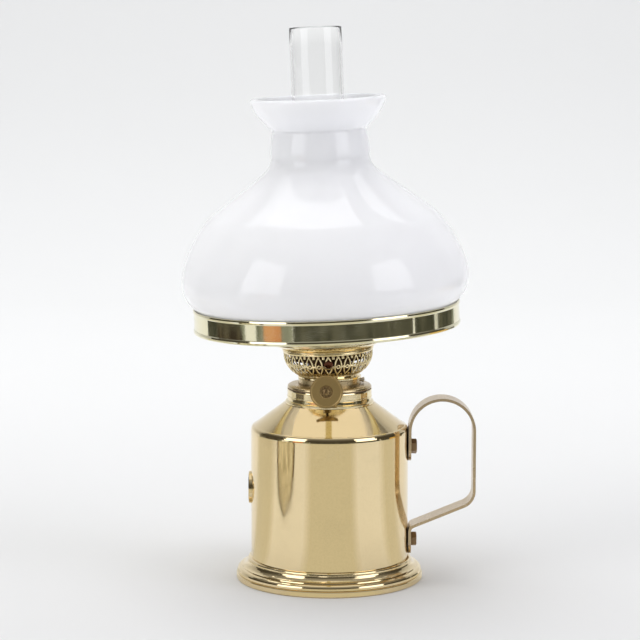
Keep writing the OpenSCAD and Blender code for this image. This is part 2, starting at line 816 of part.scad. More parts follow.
module gallery_rim() {
    low_r = basket_r + 0.2;
    outer = concat([[low_r, rim_z], [low_r + 0.5, rim_z + 0.3], [low_r + 0.5, rim_z + 0.7],
            [low_r + 0.2, rim_z + 1]],
        curve([low_r + 0.9, rim_z + 1.4], [low_r + 2, rim_z + 1.8], [rim_r - 1.6, rim_top - 1.6],
            [rim_r, rim_top - 0.5], 7),
        [[rim_r, rim_top - 0.5], [rim_r, rim_top]]);
    inner = [[rim_r - 2, rim_top], [low_r + 2, rim_z + 2.2 + rim_wall / 2],
        [low_r - rim_wall, rim_z + 1.2 + rim_wall / 2], [low_r - rim_wall, rim_z]];
    color("gold")
        rotate_extrude()
            polygon(concat(outer, inner));
}

module chimney() {
    waist_r = waist_d / 2;
    tube_r = chimney_d / 2;
    bulge_top = chimney_z + chimney_foot_h;
    outer = concat([[chimney_foot_r, chimney_z]],
        curve([chimney_foot_r, bulge_top], [chimney_foot_r, bulge_top + 6], [waist_r, bulge_top + 6.5],
            [waist_r, bulge_top + 13.5], 12),
        curve([waist_r, bulge_top + 13.5], [waist_r, bulge_top + 17], [tube_r, bulge_top + 20],
            [tube_r, bulge_top + 27], 8),
        [[tube_r, bulge_top + 27], [tube_r, chimney_top]]);
    color("aliceblue", 0.4)
        spun_wall(outer, chimney_wall);
}

module shade_hub() {
    skirt = basket_r + 0.6;
    color("goldenrod")
        difference() {
            rotate_extrude()
                polygon([[skirt, rim_top - 1.4], [skirt + arm_t, rim_top - 1.4], [skirt + arm_t, hub_z],
                    [hub_r, hub_z], [hub_r, hub_z + arm_t], [skirt, hub_z + arm_t]]);
            for (i = [0:2])
                arm_rivet(i, hub_r - 2.4, 0);
        }
}

function arm_turn(i) = arm_angle + 120 * i;

// The rivet of arm i at radius r; head is how far its heads stand out, and 0 leaves the plain hole
module arm_rivet(i, r, head) {
    low = r > hub_r ? ledge_z - arm_t : hub_z;
    high = low + 2 * arm_t;
    rotate([0, 0, arm_turn(i)])
        translate([r, 0, low])
            rotate_extrude()
                polygon(head > 0
                    ? [[0, -head], [rivet_d / 2 + 0.4, -head], [rivet_d / 2 + 0.6, 0], [rivet_d / 2, 0],
                        [rivet_d / 2, high - low], [rivet_d / 2 + 0.6, high - low],
                        [rivet_d / 2 + 0.4, high - low + head], [0, high - low + head]]
                    : [[0, -1], [rivet_d / 2, -1], [rivet_d / 2, high - low + 1],
                        [0, high - low + 1]]);
}

module shade_arm(i) {
    low_in = basket_r + 3;
    flat_in = hub_r + 0.5;
    flat_out = ring_in - ledge_w - 0.5;
    end = ring_in - 1.4;
    arm_low = hub_z + arm_t;
    arm_high = ledge_z - arm_t;
    color("goldenrod")
        difference() {
            rotate([0, 0, arm_turn(i)])
                translate([0, arm_w / 2, 0])
                    rotate([90, 0, 0])
                        linear_extrude(arm_w)
                            polygon([[low_in, arm_low], [flat_in, arm_low], [flat_out, arm_high],
                                [end, arm_high], [end, arm_high + arm_t],
                                [flat_out - 0.2, arm_high + arm_t], [flat_in - 0.2, arm_low + arm_t],
                                [low_in, arm_low + arm_t]]);
            arm_rivet(i, hub_r - 2.4, 0);
            arm_rivet(i, ring_in - 4.4, 0);
        }
}

module arm_rivets() {
    color("goldenrod")
        for (i = [0:2]) {
            arm_rivet(i, hub_r - 2.4, 0.1);
            arm_rivet(i, ring_in - 4.4, 0.1);
        }
}

module shade_ring() {
    high = ring_z + ring_h;
    color("gold")
        difference() {
            rotate_extrude()
                polygon([[ring_in, ring_z + 0.1], [ring_r - 0.5, ring_z], [ring_r, ring_z + 0.5],
                    [ring_r + 0.1, ring_z + 1.3], [ring_r - 0.1, ring_z + 2.2],
                    [ring_r - 0.4, ring_z + 2.6], [ring_r - 0.4, high - 2.3], [ring_r - 0.1, high - 1.9],
                    [ring_r + 0.1, high - 1.1], [ring_r - 0.1, high - 0.3], [ring_r - 0.5, high],
                    [ring_in + 0.2, high - 0.2], [ring_in, high - 0.6], [ring_in, ledge_z + arm_t],
                    [ring_in - ledge_w, ledge_z + arm_t], [ring_in - ledge_w, ledge_z],
                    [ring_in, ledge_z]]);
            for (i = [0:2])
                arm_rivet(i, ring_in - 4.4, 0);
        }
}

// Outline of the shade's outside, from its foot up to its flared top
function shade_path() =
    let (fitter_r = ring_in - fitter_gap)
    let (wide_r = shade_d / 2)
    let (neck = shade_neck_d / 2)
    let (foot_top = shade_z + fitter_h)
    let (wide = [wide_r, foot_top + belly_up])
    let (hip = [wide_r - hip_in, shade_top - hip_drop])
    let (shoulder = [neck + shoulder_out, shade_top - shoulder_drop])
    let (neck_low = [neck + 0.3, shade_top - neck_drop])
    let (neck_high = [neck - 1.2, shade_top - flare_h])
    let (lip = [shade_top_d / 2, shade_top - 1.2])
    concat([[fitter_r, shade_z]],
        sweep([fitter_r, foot_top], wide, [0.33, 0.11], [0, 0.51], 7),
        sweep(wide, hip, [0, 0.32], [0.45, 0.24], 8),
        sweep(hip, shoulder, [0.12, 0.18], [0.4, 0.41], 8),
        sweep(shoulder, neck_low, [0.48, 0.26], [0.09, 0.45], 5),
        sweep(neck_low, neck_high, [-0.6, 0.26], [0.87, 0.36], 5),
        sweep(neck_high, lip, [0.16, 0.11], [0.2, 0.52], 7),
        [lip, lip + [-0.2, 0.9]]);

module glass_shade() {
    color("whitesmoke")
        spun_wall(shade_path(), shade_wall);
}

foot();
base_plate();
font_cylinder();
font_floor();
font_shoulder();
font_collar();
badge();
handle();
handle_bolts();
handle_bosses();
burner_gasket();
burner_base();
burner_neck();
wick_tube();
air_tube();
wick();
wick_spindle();
claw_wheels();
spindle_bush();
gland_nut();
wick_knob();
knob_rivet();
gallery_catch();
leaning() gallery_basket();
leaning() chimney_holder();
leaning() gallery_rim();
leaning() chimney();
leaning() shade_hub();
leaning() shade_arm(0);  // shade_arm_1
leaning() shade_arm(1);  // shade_arm_2
leaning() shade_arm(2);  // shade_arm_3
leaning() arm_rivets();
leaning() shade_ring();
leaning() glass_shade();
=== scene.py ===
"""Kerosene table lamp: the finishes, the glass, the wick and the studio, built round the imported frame."""

import json
import math

import bpy
from mathutils import Matrix, Vector


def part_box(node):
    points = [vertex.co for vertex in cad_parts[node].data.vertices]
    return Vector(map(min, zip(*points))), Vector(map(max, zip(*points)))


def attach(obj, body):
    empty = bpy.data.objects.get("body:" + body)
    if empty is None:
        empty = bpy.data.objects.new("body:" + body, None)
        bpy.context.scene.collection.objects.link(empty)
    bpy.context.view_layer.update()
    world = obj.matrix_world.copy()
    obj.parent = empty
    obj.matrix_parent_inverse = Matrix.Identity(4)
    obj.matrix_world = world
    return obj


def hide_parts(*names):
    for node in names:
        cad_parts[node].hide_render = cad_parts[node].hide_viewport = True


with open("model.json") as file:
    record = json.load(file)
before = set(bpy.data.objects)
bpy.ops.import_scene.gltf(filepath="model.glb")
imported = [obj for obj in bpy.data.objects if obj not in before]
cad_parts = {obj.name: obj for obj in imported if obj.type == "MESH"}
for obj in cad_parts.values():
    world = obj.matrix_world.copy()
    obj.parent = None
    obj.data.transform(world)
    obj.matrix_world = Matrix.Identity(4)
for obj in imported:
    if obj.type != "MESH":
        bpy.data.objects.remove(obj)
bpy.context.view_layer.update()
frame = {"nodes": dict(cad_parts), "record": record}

bl_info = {
    "name": "Kerosene table lamp",
    "version": (1, 0, 0),
    "blender": (4, 5, 0),
    "location": "View3D > Sidebar > Lamp",
    "description": "Dresses a brass table lamp with its metal, glass and wick, and sets up its studio",
    "category": "Object",
}

MM = 0.001
BODY_OF = {node: body for body, nodes in frame["record"]["behaviour"]["bodies"].items() for node in nodes}
RING_LOW, RING_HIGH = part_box("shade_ring")
SHADE_LOW, SHADE_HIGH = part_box("glass_shade")
TUBE_LOW, TUBE_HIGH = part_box("chimney")
WICK_LOW, WICK_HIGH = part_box("wick")


def width(low, high):
    """Width of a round part along Y, which the lean doesn't change"""
    return high.y - low.y


# Sizes and colours that a user would change


class LampSizes(bpy.types.PropertyGroup):
    """Sizes of the pieces that are made here; the frame holds the others"""

    lean: bpy.props.FloatProperty(
        name="Lean", description="Lean of the gallery, the chimney and the shade, as photographed",
        default=math.radians(2.3), min=0, max=math.radians(2.6), subtype="ANGLE", unit="ROTATION")
    pivot: bpy.props.FloatProperty(
        name="Pivot height", description="Height at which the lean turns",
        default=0.110, min=0.10, max=0.12, subtype="DISTANCE", unit="LENGTH")
    shade_width: bpy.props.FloatProperty(
        name="Shade width", description="Greatest width of the opal shade",
        default=width(SHADE_LOW, SHADE_HIGH), min=0.15, max=0.18, subtype="DISTANCE", unit="LENGTH")
    shade_neck: bpy.props.FloatProperty(
        name="Shade neck", description="Width of the opal shade's neck",
        default=0.0546, min=0.05, max=0.064, subtype="DISTANCE", unit="LENGTH")
    shade_top: bpy.props.FloatProperty(
        name="Shade top", description="Width of the opal shade's flared top",
        default=0.0758, min=0.07, max=0.09, subtype="DISTANCE", unit="LENGTH")
    shade_wall: bpy.props.FloatProperty(
        name="Shade glass", description="Thickness of the opal glass",
        default=0.0026, min=0.002, max=0.003, subtype="DISTANCE", unit="LENGTH")
    chimney_width: bpy.props.FloatProperty(
        name="Chimney width", description="Width of the chimney's tube",
        default=0.0292, min=0.0284, max=0.032, subtype="DISTANCE", unit="LENGTH")
    chimney_wall: bpy.props.FloatProperty(
        name="Chimney glass", description="Thickness of the chimney's glass",
        default=0.0016, min=0.0013, max=0.002, subtype="DISTANCE", unit="LENGTH")
    glass_ripple: bpy.props.FloatProperty(
        name="Glass ripple", description="Height of the slow waves that blowing leaves in the glass",
        default=0.00006, min=0, max=0.0003, subtype="DISTANCE", unit="LENGTH", precision=5)


class LampColours(bpy.types.PropertyGroup):
    """Colours of the lamp's metals, glass and cotton"""

    polished: bpy.props.FloatVectorProperty(
        name="Polished brass", description="Colour of the font and the foot",
        default=(0.85, 0.69, 0.41), min=0, max=1, subtype="COLOR")
    pale: bpy.props.FloatVectorProperty(
        name="Pale brass", description="Colour of the shade ring",
        default=(0.87, 0.82, 0.58), min=0, max=1, subtype="COLOR")
    burner: bpy.props.FloatVectorProperty(
        name="Burner brass", description="Colour of the burner's cap and neck",
        default=(0.58, 0.46, 0.27), min=0, max=1, subtype="COLOR")
    gallery: bpy.props.FloatVectorProperty(
        name="Gallery brass", description="Colour of the basket and its rim",
        default=(0.93, 0.79, 0.48), min=0, max=1, subtype="COLOR")
    gold: bpy.props.FloatVectorProperty(
        name="Rim brass", description="Colour of the flared rim and of the bead that carries the gallery",
        default=(0.94, 0.80, 0.50), min=0, max=1, subtype="COLOR")
    # Painted shade: this brass is darker than heat browning alone would leave it, so that the holder and the tubes
    # inside the basket look as dark as their shade
    inside: bpy.props.FloatVectorProperty(
        name="Heated and shaded brass", description="Colour of the brass inside the basket, browned by the flame's heat and darkened as painted shade",
        default=(0.10, 0.055, 0.03), min=0, max=1, subtype="COLOR")
    knob: bpy.props.FloatVectorProperty(
        name="Knob brass", description="Colour of the aged wick knob",
        default=(0.45, 0.32, 0.14), min=0, max=1, subtype="COLOR")
    handle: bpy.props.FloatVectorProperty(
        name="Handle brass", description="Colour of the handle's strip",
        default=(0.56, 0.44, 0.29), min=0, max=1, subtype="COLOR")
    opal: bpy.props.FloatVectorProperty(
        name="Opal glass", description="Colour of the shade's white glass",
        default=(0.885, 0.89, 0.935), min=0, max=1, subtype="COLOR")
    cotton: bpy.props.FloatVectorProperty(
        name="Cotton", description="Colour of the clean wick",
        default=(0.72, 0.66, 0.54), min=0, max=1, subtype="COLOR")


class StudioSettings(bpy.types.PropertyGroup):
    """The camera, the light and the table"""

    lens: bpy.props.FloatProperty(
        name="Lens", description="Focal length of the camera's lens in millimetres",
        default=135, min=50, max=300)
    tilt: bpy.props.FloatProperty(
        name="Tilt", description="How far the camera looks down",
        default=math.radians(7.84), min=0, max=math.radians(30), subtype="ANGLE", unit="ROTATION")
    place: bpy.props.FloatVectorProperty(
        name="Place", description="Where the camera stands",
        default=(-0.00536, -1.338, 0.3315), subtype="TRANSLATION", unit="LENGTH")
    light: bpy.props.FloatProperty(
        name="Light", description="Strength of the room's even light",
        default=0.54, min=0, max=3)
    screens: bpy.props.BoolProperty(
        name="Dark screens", description="Stand the dark screens that the polished ring mirrors",
        default=True)


# Short calls for node trees


def add(tree, kind, inputs=None, **settings):
    """A new node with its own settings; inputs are values or sockets, by name or number"""
    made = tree.nodes.new(kind)
    for key, value in settings.items():
        setattr(made, key, value)
    for key, value in (inputs or {}).items():
        socket = made.inputs[key]
        if isinstance(value, bpy.types.NodeSocket):
            tree.links.new(value, socket)
        else:
            socket.default_value = value
    return made


def maths(tree, operation, a, b=0.0, clamp=False):
    """Output of a Math node"""
    return add(tree, "ShaderNodeMath", {0: a, 1: b}, operation=operation, use_clamp=clamp).outputs[0]


def mixed(tree, share, a, b):
    """Output of a colour mix from a to b"""
    made = add(tree, "ShaderNodeMix", {"Factor": share}, data_type="RGBA")
    for number, value in ((6, a), (7, b)):
        if isinstance(value, bpy.types.NodeSocket):
            tree.links.new(value, made.inputs[number])
        else:
            made.inputs[number].default_value = (*value[:3], 1)
    return made.outputs[2]


def scaled(tree, value, low, high, to_low=0.0, to_high=1.0):
    """A value carried from one range to another, and held inside it"""
    made = add(tree, "ShaderNodeMapRange", {"Value": value, "From Min": low, "From Max": high,
                                            "To Min": to_low, "To Max": to_high})
    return made.outputs[0]


def group(name, kind, sockets):
    """A new node group with its sockets; sockets are (name, direction, type, default)"""
    tree = bpy.data.node_groups.new(name, kind)
    for label, way, socket, value in sockets:
        made = tree.interface.new_socket(label, in_out=way, socket_type=socket)
        if value is not None:
            made.default_value = value
    entry = tree.nodes.new("NodeGroupInput")
    leave = tree.nodes.new("NodeGroupOutput")
    return tree, entry.outputs, leave.inputs


# Effects that several materials share


def lathe_marks_group():
    """Fine rings that turning and buffing leave about the part's own axis"""
    tree, given, out = group("Lathe marks", "ShaderNodeTree", [
        ("Place", "INPUT", "NodeSocketVector", None),
        ("Pitch", "INPUT", "NodeSocketFloat", 0.0004),
        ("Marks", "OUTPUT", "NodeSocketFloat", None),
    ])
    parts = add(tree, "ShaderNodeSeparateXYZ", {0: given["Place"]}).outputs
    square = maths(tree, "ADD", maths(tree, "MULTIPLY", parts[0], parts[0]),
                   maths(tree, "MULTIPLY", parts[1], parts[1]))
    across = maths(tree, "ADD", maths(tree, "SQRT", square), parts[2])
    step = maths(tree, "DIVIDE", across, given["Pitch"])
    fine = add(tree, "ShaderNodeTexNoise", {"W": step, "Scale": 1.0, "Detail": 2.0, "Roughness": 0.7},
               noise_dimensions="1D").outputs[0]
    tree.links.new(fine, out["Marks"])
    return tree


def handled_group():
    """Soft smudges and slow unevenness of a metal that has been touched and wiped"""
    tree, given, out = group("Handled metal", "ShaderNodeTree", [
        ("Place", "INPUT", "NodeSocketVector", None),
        ("Size", "INPUT", "NodeSocketFloat", 0.02),
        ("Smudge", "OUTPUT", "NodeSocketFloat", None),
        ("Wave", "OUTPUT", "NodeSocketFloat", None),
    ])
    spread = add(tree, "ShaderNodeVectorMath", {0: given["Place"], 1: (1.0, 1.0, 1.0)}, operation="SCALE")
    tree.links.new(maths(tree, "DIVIDE", 1.0, given["Size"]), spread.inputs["Scale"])
    cloud = add(tree, "ShaderNodeTexNoise", {"Vector": spread.outputs[0], "Scale": 1.3, "Detail": 5.0,
                                             "Roughness": 0.62}).outputs[0]
    wave = add(tree, "ShaderNodeTexNoise", {"Vector": spread.outputs[0], "Scale": 0.8, "Detail": 0.0}).outputs[0]
    tree.links.new(scaled(tree, cloud, 0.45, 0.72), out["Smudge"])
    tree.links.new(wave, out["Wave"])
    return tree


def tarnish_group():
    """Dull brown left in corners and grooves, where polish doesn't reach"""
    tree, given, out = group("Tarnish in corners", "ShaderNodeTree", [
        ("Place", "INPUT", "NodeSocketVector", None),
        ("Reach", "INPUT", "NodeSocketFloat", 0.002),
        ("Amount", "INPUT", "NodeSocketFloat", 0.5),
        ("Mask", "OUTPUT", "NodeSocketFloat", None),
    ])
    shut = add(tree, "ShaderNodeAmbientOcclusion", {"Distance": given["Reach"]}, samples=6)
    depth = scaled(tree, shut.outputs["AO"], 0.75, 0.15)
    grain = add(tree, "ShaderNodeTexNoise", {"Vector": given["Place"], "Scale": 420.0, "Detail": 4.0}).outputs[0]
    broken = maths(tree, "MULTIPLY", depth, scaled(tree, grain, 0.3, 0.6, 0.55, 1.0))
    tree.links.new(maths(tree, "MULTIPLY", broken, given["Amount"], clamp=True), out["Mask"])
    return tree


def edge_group():
    """Bright wear along outer edges"""
    tree, given, out = group("Edge wear", "ShaderNodeTree", [
        ("Place", "INPUT", "NodeSocketVector", None),
        ("Amount", "INPUT", "NodeSocketFloat", 0.5),
        ("Mask", "OUTPUT", "NodeSocketFloat", None),
    ])
    bent = add(tree, "ShaderNodeNewGeometry").outputs["Pointiness"]
    edge = scaled(tree, bent, 0.52, 0.6)
    grain = add(tree, "ShaderNodeTexNoise", {"Vector": given["Place"], "Scale": 900.0, "Detail": 3.0}).outputs[0]
    broken = maths(tree, "MULTIPLY", edge, scaled(tree, grain, 0.35, 0.6, 0.4, 1.0))
    tree.links.new(maths(tree, "MULTIPLY", broken, given["Amount"], clamp=True), out["Mask"])
    return tree


GROUPS = {}


def shared(name):
    """A shared shader group, made the first time that it is asked for"""
    makers = {"marks": lathe_marks_group, "handled": handled_group, "tarnish": tarnish_group,
              "edge": edge_group}
    if name not in GROUPS:
        GROUPS[name] = makers[name]()
    return GROUPS[name]


def use_group(tree, name, inputs):
    """Outputs of a shared group placed in a material"""
    made = tree.nodes.new("ShaderNodeGroup")
    made.node_tree = shared(name)
    for key, value in inputs.items():
        if isinstance(value, bpy.types.NodeSocket):
            tree.links.new(value, made.inputs[key])
        else:
            made.inputs[key].default_value = value
    return made.outputs


# Materials


def new_material(name, place=(0.0, 0.0, 0.0), turn=(0.0, 0.0, 0.0)):
    """An empty node material: its tree, its shader and its pattern place on the object"""
    material = bpy.data.materials.new(name)
    material.use_nodes = True
    tree = material.node_tree
    tree.nodes.clear()
    shader = add(tree, "ShaderNodeBsdfPrincipled")
    leave = add(tree, "ShaderNodeOutputMaterial")
    tree.links.new(shader.outputs[0], leave.inputs[0])
    where = add(tree, "ShaderNodeTexCoord").outputs["Object"]
    spot = add(tree, "ShaderNodeMapping", {"Vector": where, "Location": place, "Rotation": turn}).outputs[0]
    return material, tree, shader, spot


def bumped(tree, shader, *heights):
    """Sends heights in metres to the shader's normal"""
    total = heights[0]
    for height in heights[1:]:
        total = maths(tree, "ADD", total, height)
    bump = add(tree, "ShaderNodeBump", {"Strength": 1.0, "Distance": 1.0, "Height": total})
    tree.links.new(bump.outputs[0], shader.inputs["Normal"])


def brass(name, colour, brown, rough, pitch=0.0004, marks=0.4e-6, wave=3e-6, smudge=0.12, tarnish=0.6,
          reach=0.002, wear=0.3, place=(0.0, 0.0, 0.0), turn=(0.0, 0.0, 0.0), bow=0.0, speckle=0.0):
    """Brass with turning marks, slow waves, smudges, brown corners and worn edges; bow tips its mirror outwards"""
    material, tree, shader, spot = new_material(name, place, turn)
    rings = use_group(tree, "marks", {"Place": spot, "Pitch": pitch})["Marks"]
    touched = use_group(tree, "handled", {"Place": spot, "Size": 0.03})
    dull = use_group(tree, "tarnish", {"Place": spot, "Reach": reach, "Amount": tarnish})["Mask"]
    worn = use_group(tree, "edge", {"Place": spot, "Amount": wear})["Mask"]
    warm = mixed(tree, maths(tree, "MULTIPLY", touched["Smudge"], 0.35), colour, [c * 0.9 for c in colour])
    bright = mixed(tree, worn, warm, [min(1.0, c * 1.12 + 0.05) for c in colour])
    tree.links.new(mixed(tree, dull, bright, brown), shader.inputs["Base Color"])
    uneven = maths(tree, "ADD", rough, maths(tree, "MULTIPLY", touched["Smudge"], smudge))
    lined = maths(tree, "ADD", uneven, maths(tree, "MULTIPLY", rings, 0.05))
    tree.links.new(maths(tree, "ADD", lined, maths(tree, "MULTIPLY", dull, 0.35), clamp=True),
                   shader.inputs["Roughness"])
    shader.inputs["Metallic"].default_value = 1.0
    heights = [maths(tree, "MULTIPLY", rings, marks), maths(tree, "MULTIPLY", touched["Wave"], wave)]
    if bow:
        flat = add(tree, "ShaderNodeVectorMath", {0: spot, 1: (1.0, 1.0, 0.0)}, operation="MULTIPLY").outputs[0]
        away = add(tree, "ShaderNodeVectorMath", {0: flat}, operation="LENGTH").outputs["Value"]
        heights.append(maths(tree, "MULTIPLY", away, -bow))
    if speckle:
        specks = add(tree, "ShaderNodeTexNoise", {"Vector": spot, "Scale": 1100.0, "Detail": 3.0}).outputs[0]
        heights.append(maths(tree, "MULTIPLY", specks, speckle))
    bumped(tree, shader, *heights)
    return material


def dress(material, *nodes):
    """Gives CAD nodes a material"""
    for node in nodes:
        piece = frame["nodes"][node]
        for number in range(len(piece.material_slots)):
            piece.material_slots[number].material = material


def lean_turn():
    """Mapping values that stand a leaning part's pattern upright about its own axis"""
    sizes = bpy.context.scene.lamp_sizes
    lift = Vector((0, 0, sizes.pivot))
    turned = Matrix.Rotation(sizes.lean, 3, "Y") @ -lift
    return {"place": tuple(turned), "turn": (0.0, sizes.lean, 0.0)}


# Outlines and turned pieces


def bezier(a, b, c, d, count):
    """Points on a smooth curve without its last one; b and c are its handles"""
    points = []
    for i in range(count):
        t = i / count
        points.append(tuple((1 - t) ** 3 * p + 3 * t * (1 - t) ** 2 * q + 3 * t * t * (1 - t) * r + t ** 3 * s
                            for p, q, r, s in zip(a, b, c, d)))
    return points


def sweep(a, d, start, end, count):
    """Smooth curve from a to d; its handles are shares of the way between them"""
    way = (d[0] - a[0], d[1] - a[1])
    return bezier(a, (a[0] + way[0] * start[0], a[1] + way[1] * start[1]),
                  (d[0] - way[0] * end[0], d[1] - way[1] * end[1]), d, count)


def half_turn(a, b, count):
    """Round end from a to b, on the right of the way from a to b"""
    middle = ((a[0] + b[0]) / 2, (a[1] + b[1]) / 2)
    radius = math.dist(a, b) / 2
    start = math.atan2(a[1] - middle[1], a[0] - middle[0])
    return [(middle[0] + radius * math.cos(start + math.pi * i / count),
             middle[1] + radius * math.sin(start + math.pi * i / count)) for i in range(1, count)]


def offset_path(path, distance):
    """The same path moved sideways to its left"""
    moved = []
    for i, point in enumerate(path):
        before = path[max(i - 1, 0)]
        after = path[min(i + 1, len(path) - 1)]
        step = (after[0] - before[0], after[1] - before[1])
        length = math.hypot(*step)
        moved.append((point[0] - step[1] / length * distance, point[1] + step[0] / length * distance))
    return moved


def walled(path, wall):
    """Closed outline of a wall whose outer face is the path, with rounded ends"""
    inner = offset_path(path, wall)[::-1]
    return path + half_turn(path[-1], inner[0], 8) + inner + half_turn(inner[-1], path[0], 8)


def outline_object(name, points):
    """A closed loop of edges: radius along X and height along Z"""
    mesh = bpy.data.meshes.new(name)
    count = len(points)
    mesh.from_pydata([(x, 0.0, z) for x, z in points], [(i, (i + 1) % count) for i in range(count)], [])
    made = bpy.data.objects.new(name, mesh)
    bpy.context.scene.collection.objects.link(made)
    return made


def vector(tree, x=0.0, y=0.0, z=0.0):
    """Output of a Combine XYZ node"""
    return add(tree, "ShaderNodeCombineXYZ", {"X": x, "Y": y, "Z": z}).outputs[0]


def joined(tree, *parts):
    """Geometries joined into one"""
    join = tree.nodes.new("GeometryNodeJoinGeometry")
    for part in reversed(parts):
        tree.links.new(part, join.inputs[0])
    return join.outputs[0]


def revolve(tree, outline, sides):
    """Turns a loop drawn in X and Z about the Z axis"""
    hub = 0.001
    loop = add(tree, "GeometryNodeMeshToCurve", {0: outline}).outputs[0]
    point = add(tree, "ShaderNodeSeparateXYZ", {0: add(tree, "GeometryNodeInputPosition").outputs[0]}).outputs
    flat = vector(tree, maths(tree, "SUBTRACT", point[0], hub), maths(tree, "MULTIPLY", point[2], -1.0))
    profile = add(tree, "GeometryNodeSetPosition", {"Geometry": loop, "Position": flat}).outputs[0]
    circle = add(tree, "GeometryNodeCurvePrimitiveCircle", {"Resolution": sides, "Radius": hub},
                 mode="RADIUS").outputs[0]
    upright = add(tree, "GeometryNodeSetCurveNormal", {"Curve": circle}, mode="Z_UP").outputs[0]
    return add(tree, "GeometryNodeCurveToMesh", {"Curve": upright, "Profile Curve": profile}).outputs[0]


def leaned(tree, geometry, lean, pivot):
    """Leans a geometry about Y at the pivot's height"""
    down = vector(tree, z=maths(tree, "MULTIPLY", pivot, -1.0))
    turn = vector(tree, y=maths(tree, "MULTIPLY", lean, -1.0))
    lowered = add(tree, "GeometryNodeTransform", {"Geometry": geometry, "Translation": down}).outputs[0]
    return add(tree, "GeometryNodeTransform", {"Geometry": lowered, "Translation": vector(tree, z=pivot),
                                               "Rotation": turn}).outputs[0]


def finished(tree, geometry, finish):
    """Smooth, real geometry with its finish"""
    smooth = add(tree, "GeometryNodeSetShadeSmooth", {"Geometry": geometry, "Shade Smooth": True}).outputs[0]
    real = add(tree, "GeometryNodeRealizeInstances", {"Geometry": smooth}).outputs[0]
    return add(tree, "GeometryNodeSetMaterial", {"Geometry": real, "Material": finish}).outputs[0]


def ring_loop(radius, height, thick, tall, count=12):
    """Oval outline of a band: its middle and half its sizes"""
    return [(radius + thick * math.cos(2 * math.pi * i / count), height + tall * math.sin(2 * math.pi * i / count))
            for i in range(count)]


def add_loop(outline, points):
    """Adds a second closed loop to an outline object"""
    mesh = outline.data
    old = [vertex.co.copy() for vertex in mesh.vertices]
    edges = [tuple(edge.vertices) for edge in mesh.edges]
    start, count = len(old), len(points)
    edges += [(start + i, start + (i + 1) % count) for i in range(count)]
    mesh.clear_geometry()
    mesh.from_pydata(old + [Vector((x, 0.0, z)) for x, z in points], edges, [])


def turned_tree():
    """Geometry Nodes that turn an outline about the Z axis, ripple it and lean it"""
    tree, given, out = group("Turned piece", "GeometryNodeTree", [
        ("Outline", "INPUT", "NodeSocketGeometry", None),
        ("Sides", "INPUT", "NodeSocketInt", 160),
        ("Ripple", "INPUT", "NodeSocketFloat", 0.0),
        ("Ripple size", "INPUT", "NodeSocketFloat", 0.03),
        ("Seed", "INPUT", "NodeSocketFloat", 0.0),
        ("Lean", "INPUT", "NodeSocketFloat", 0.0),
        ("Pivot", "INPUT", "NodeSocketFloat", 0.0),
        ("Finish", "INPUT", "NodeSocketMaterial", None),
        ("Piece", "OUTPUT", "NodeSocketGeometry", None),
    ])
    skin = revolve(tree, given["Outline"], given["Sides"])
    whole = add(tree, "GeometryNodeMergeByDistance", {"Geometry": skin, "Distance": 2e-6}).outputs[0]
    spread = maths(tree, "DIVIDE", 1.0, given["Ripple size"])
    noise = add(tree, "ShaderNodeTexNoise", {"W": given["Seed"], "Scale": spread, "Detail": 0.0},
                noise_dimensions="4D").outputs[0]
    height = maths(tree, "MULTIPLY", maths(tree, "SUBTRACT", noise, 0.5), given["Ripple"])
    push = add(tree, "ShaderNodeVectorMath", {0: add(tree, "GeometryNodeInputNormal").outputs[0]},
               operation="SCALE")
    tree.links.new(height, push.inputs["Scale"])
    waved = add(tree, "GeometryNodeSetPosition", {"Geometry": whole, "Offset": push.outputs[0]}).outputs[0]
    tilted = leaned(tree, waved, given["Lean"], given["Pivot"])
    tree.links.new(finished(tree, tilted, given["Finish"]), out["Piece"])
    return tree


def strand(tree, start, start_handle, end_handle, end, sides=16):
    """One strand of the open work, drawn flat: X counts half cells and Z shares of the bowl's height"""
    inputs = {"Resolution": sides}
    for key, (across, up) in {"Start": start, "Start Handle": start_handle, "End Handle": end_handle,
                              "End": end}.items():
        inputs[key] = (across, 0.0, up)
    curve = add(tree, "GeometryNodeCurvePrimitiveBezierSegment", inputs, mode="POSITION").outputs[0]
    return add(tree, "GeometryNodeResampleCurve", {"Curve": curve, "Count": sides}).outputs[0]


def on_bowl(tree, flat, given):
    """Carries a flat drawing onto the bowl: its middle faces the camera"""
    point = add(tree, "ShaderNodeSeparateXYZ", {0: add(tree, "GeometryNodeInputPosition").outputs[0]}).outputs
    half = maths(tree, "DIVIDE", math.pi, given["Cells"])
    angle = maths(tree, "MULTIPLY", point[0], half)
    drop = maths(tree, "POWER", maths(tree, "SUBTRACT", 1.0, point[2]), 2.8)
    lost = maths(tree, "MULTIPLY", drop, maths(tree, "SUBTRACT", given["Top radius"], given["Foot radius"]))
    radius = maths(tree, "SUBTRACT", given["Top radius"], lost)
    place = vector(tree, maths(tree, "MULTIPLY", radius, maths(tree, "SINE", angle)),
                   maths(tree, "MULTIPLY", maths(tree, "MULTIPLY", radius, maths(tree, "COSINE", angle)), -1.0),
                   maths(tree, "ADD", given["Foot height"], maths(tree, "MULTIPLY", point[2], given["Height"])))
    return add(tree, "GeometryNodeSetPosition", {"Geometry": flat, "Position": place}).outputs[0]


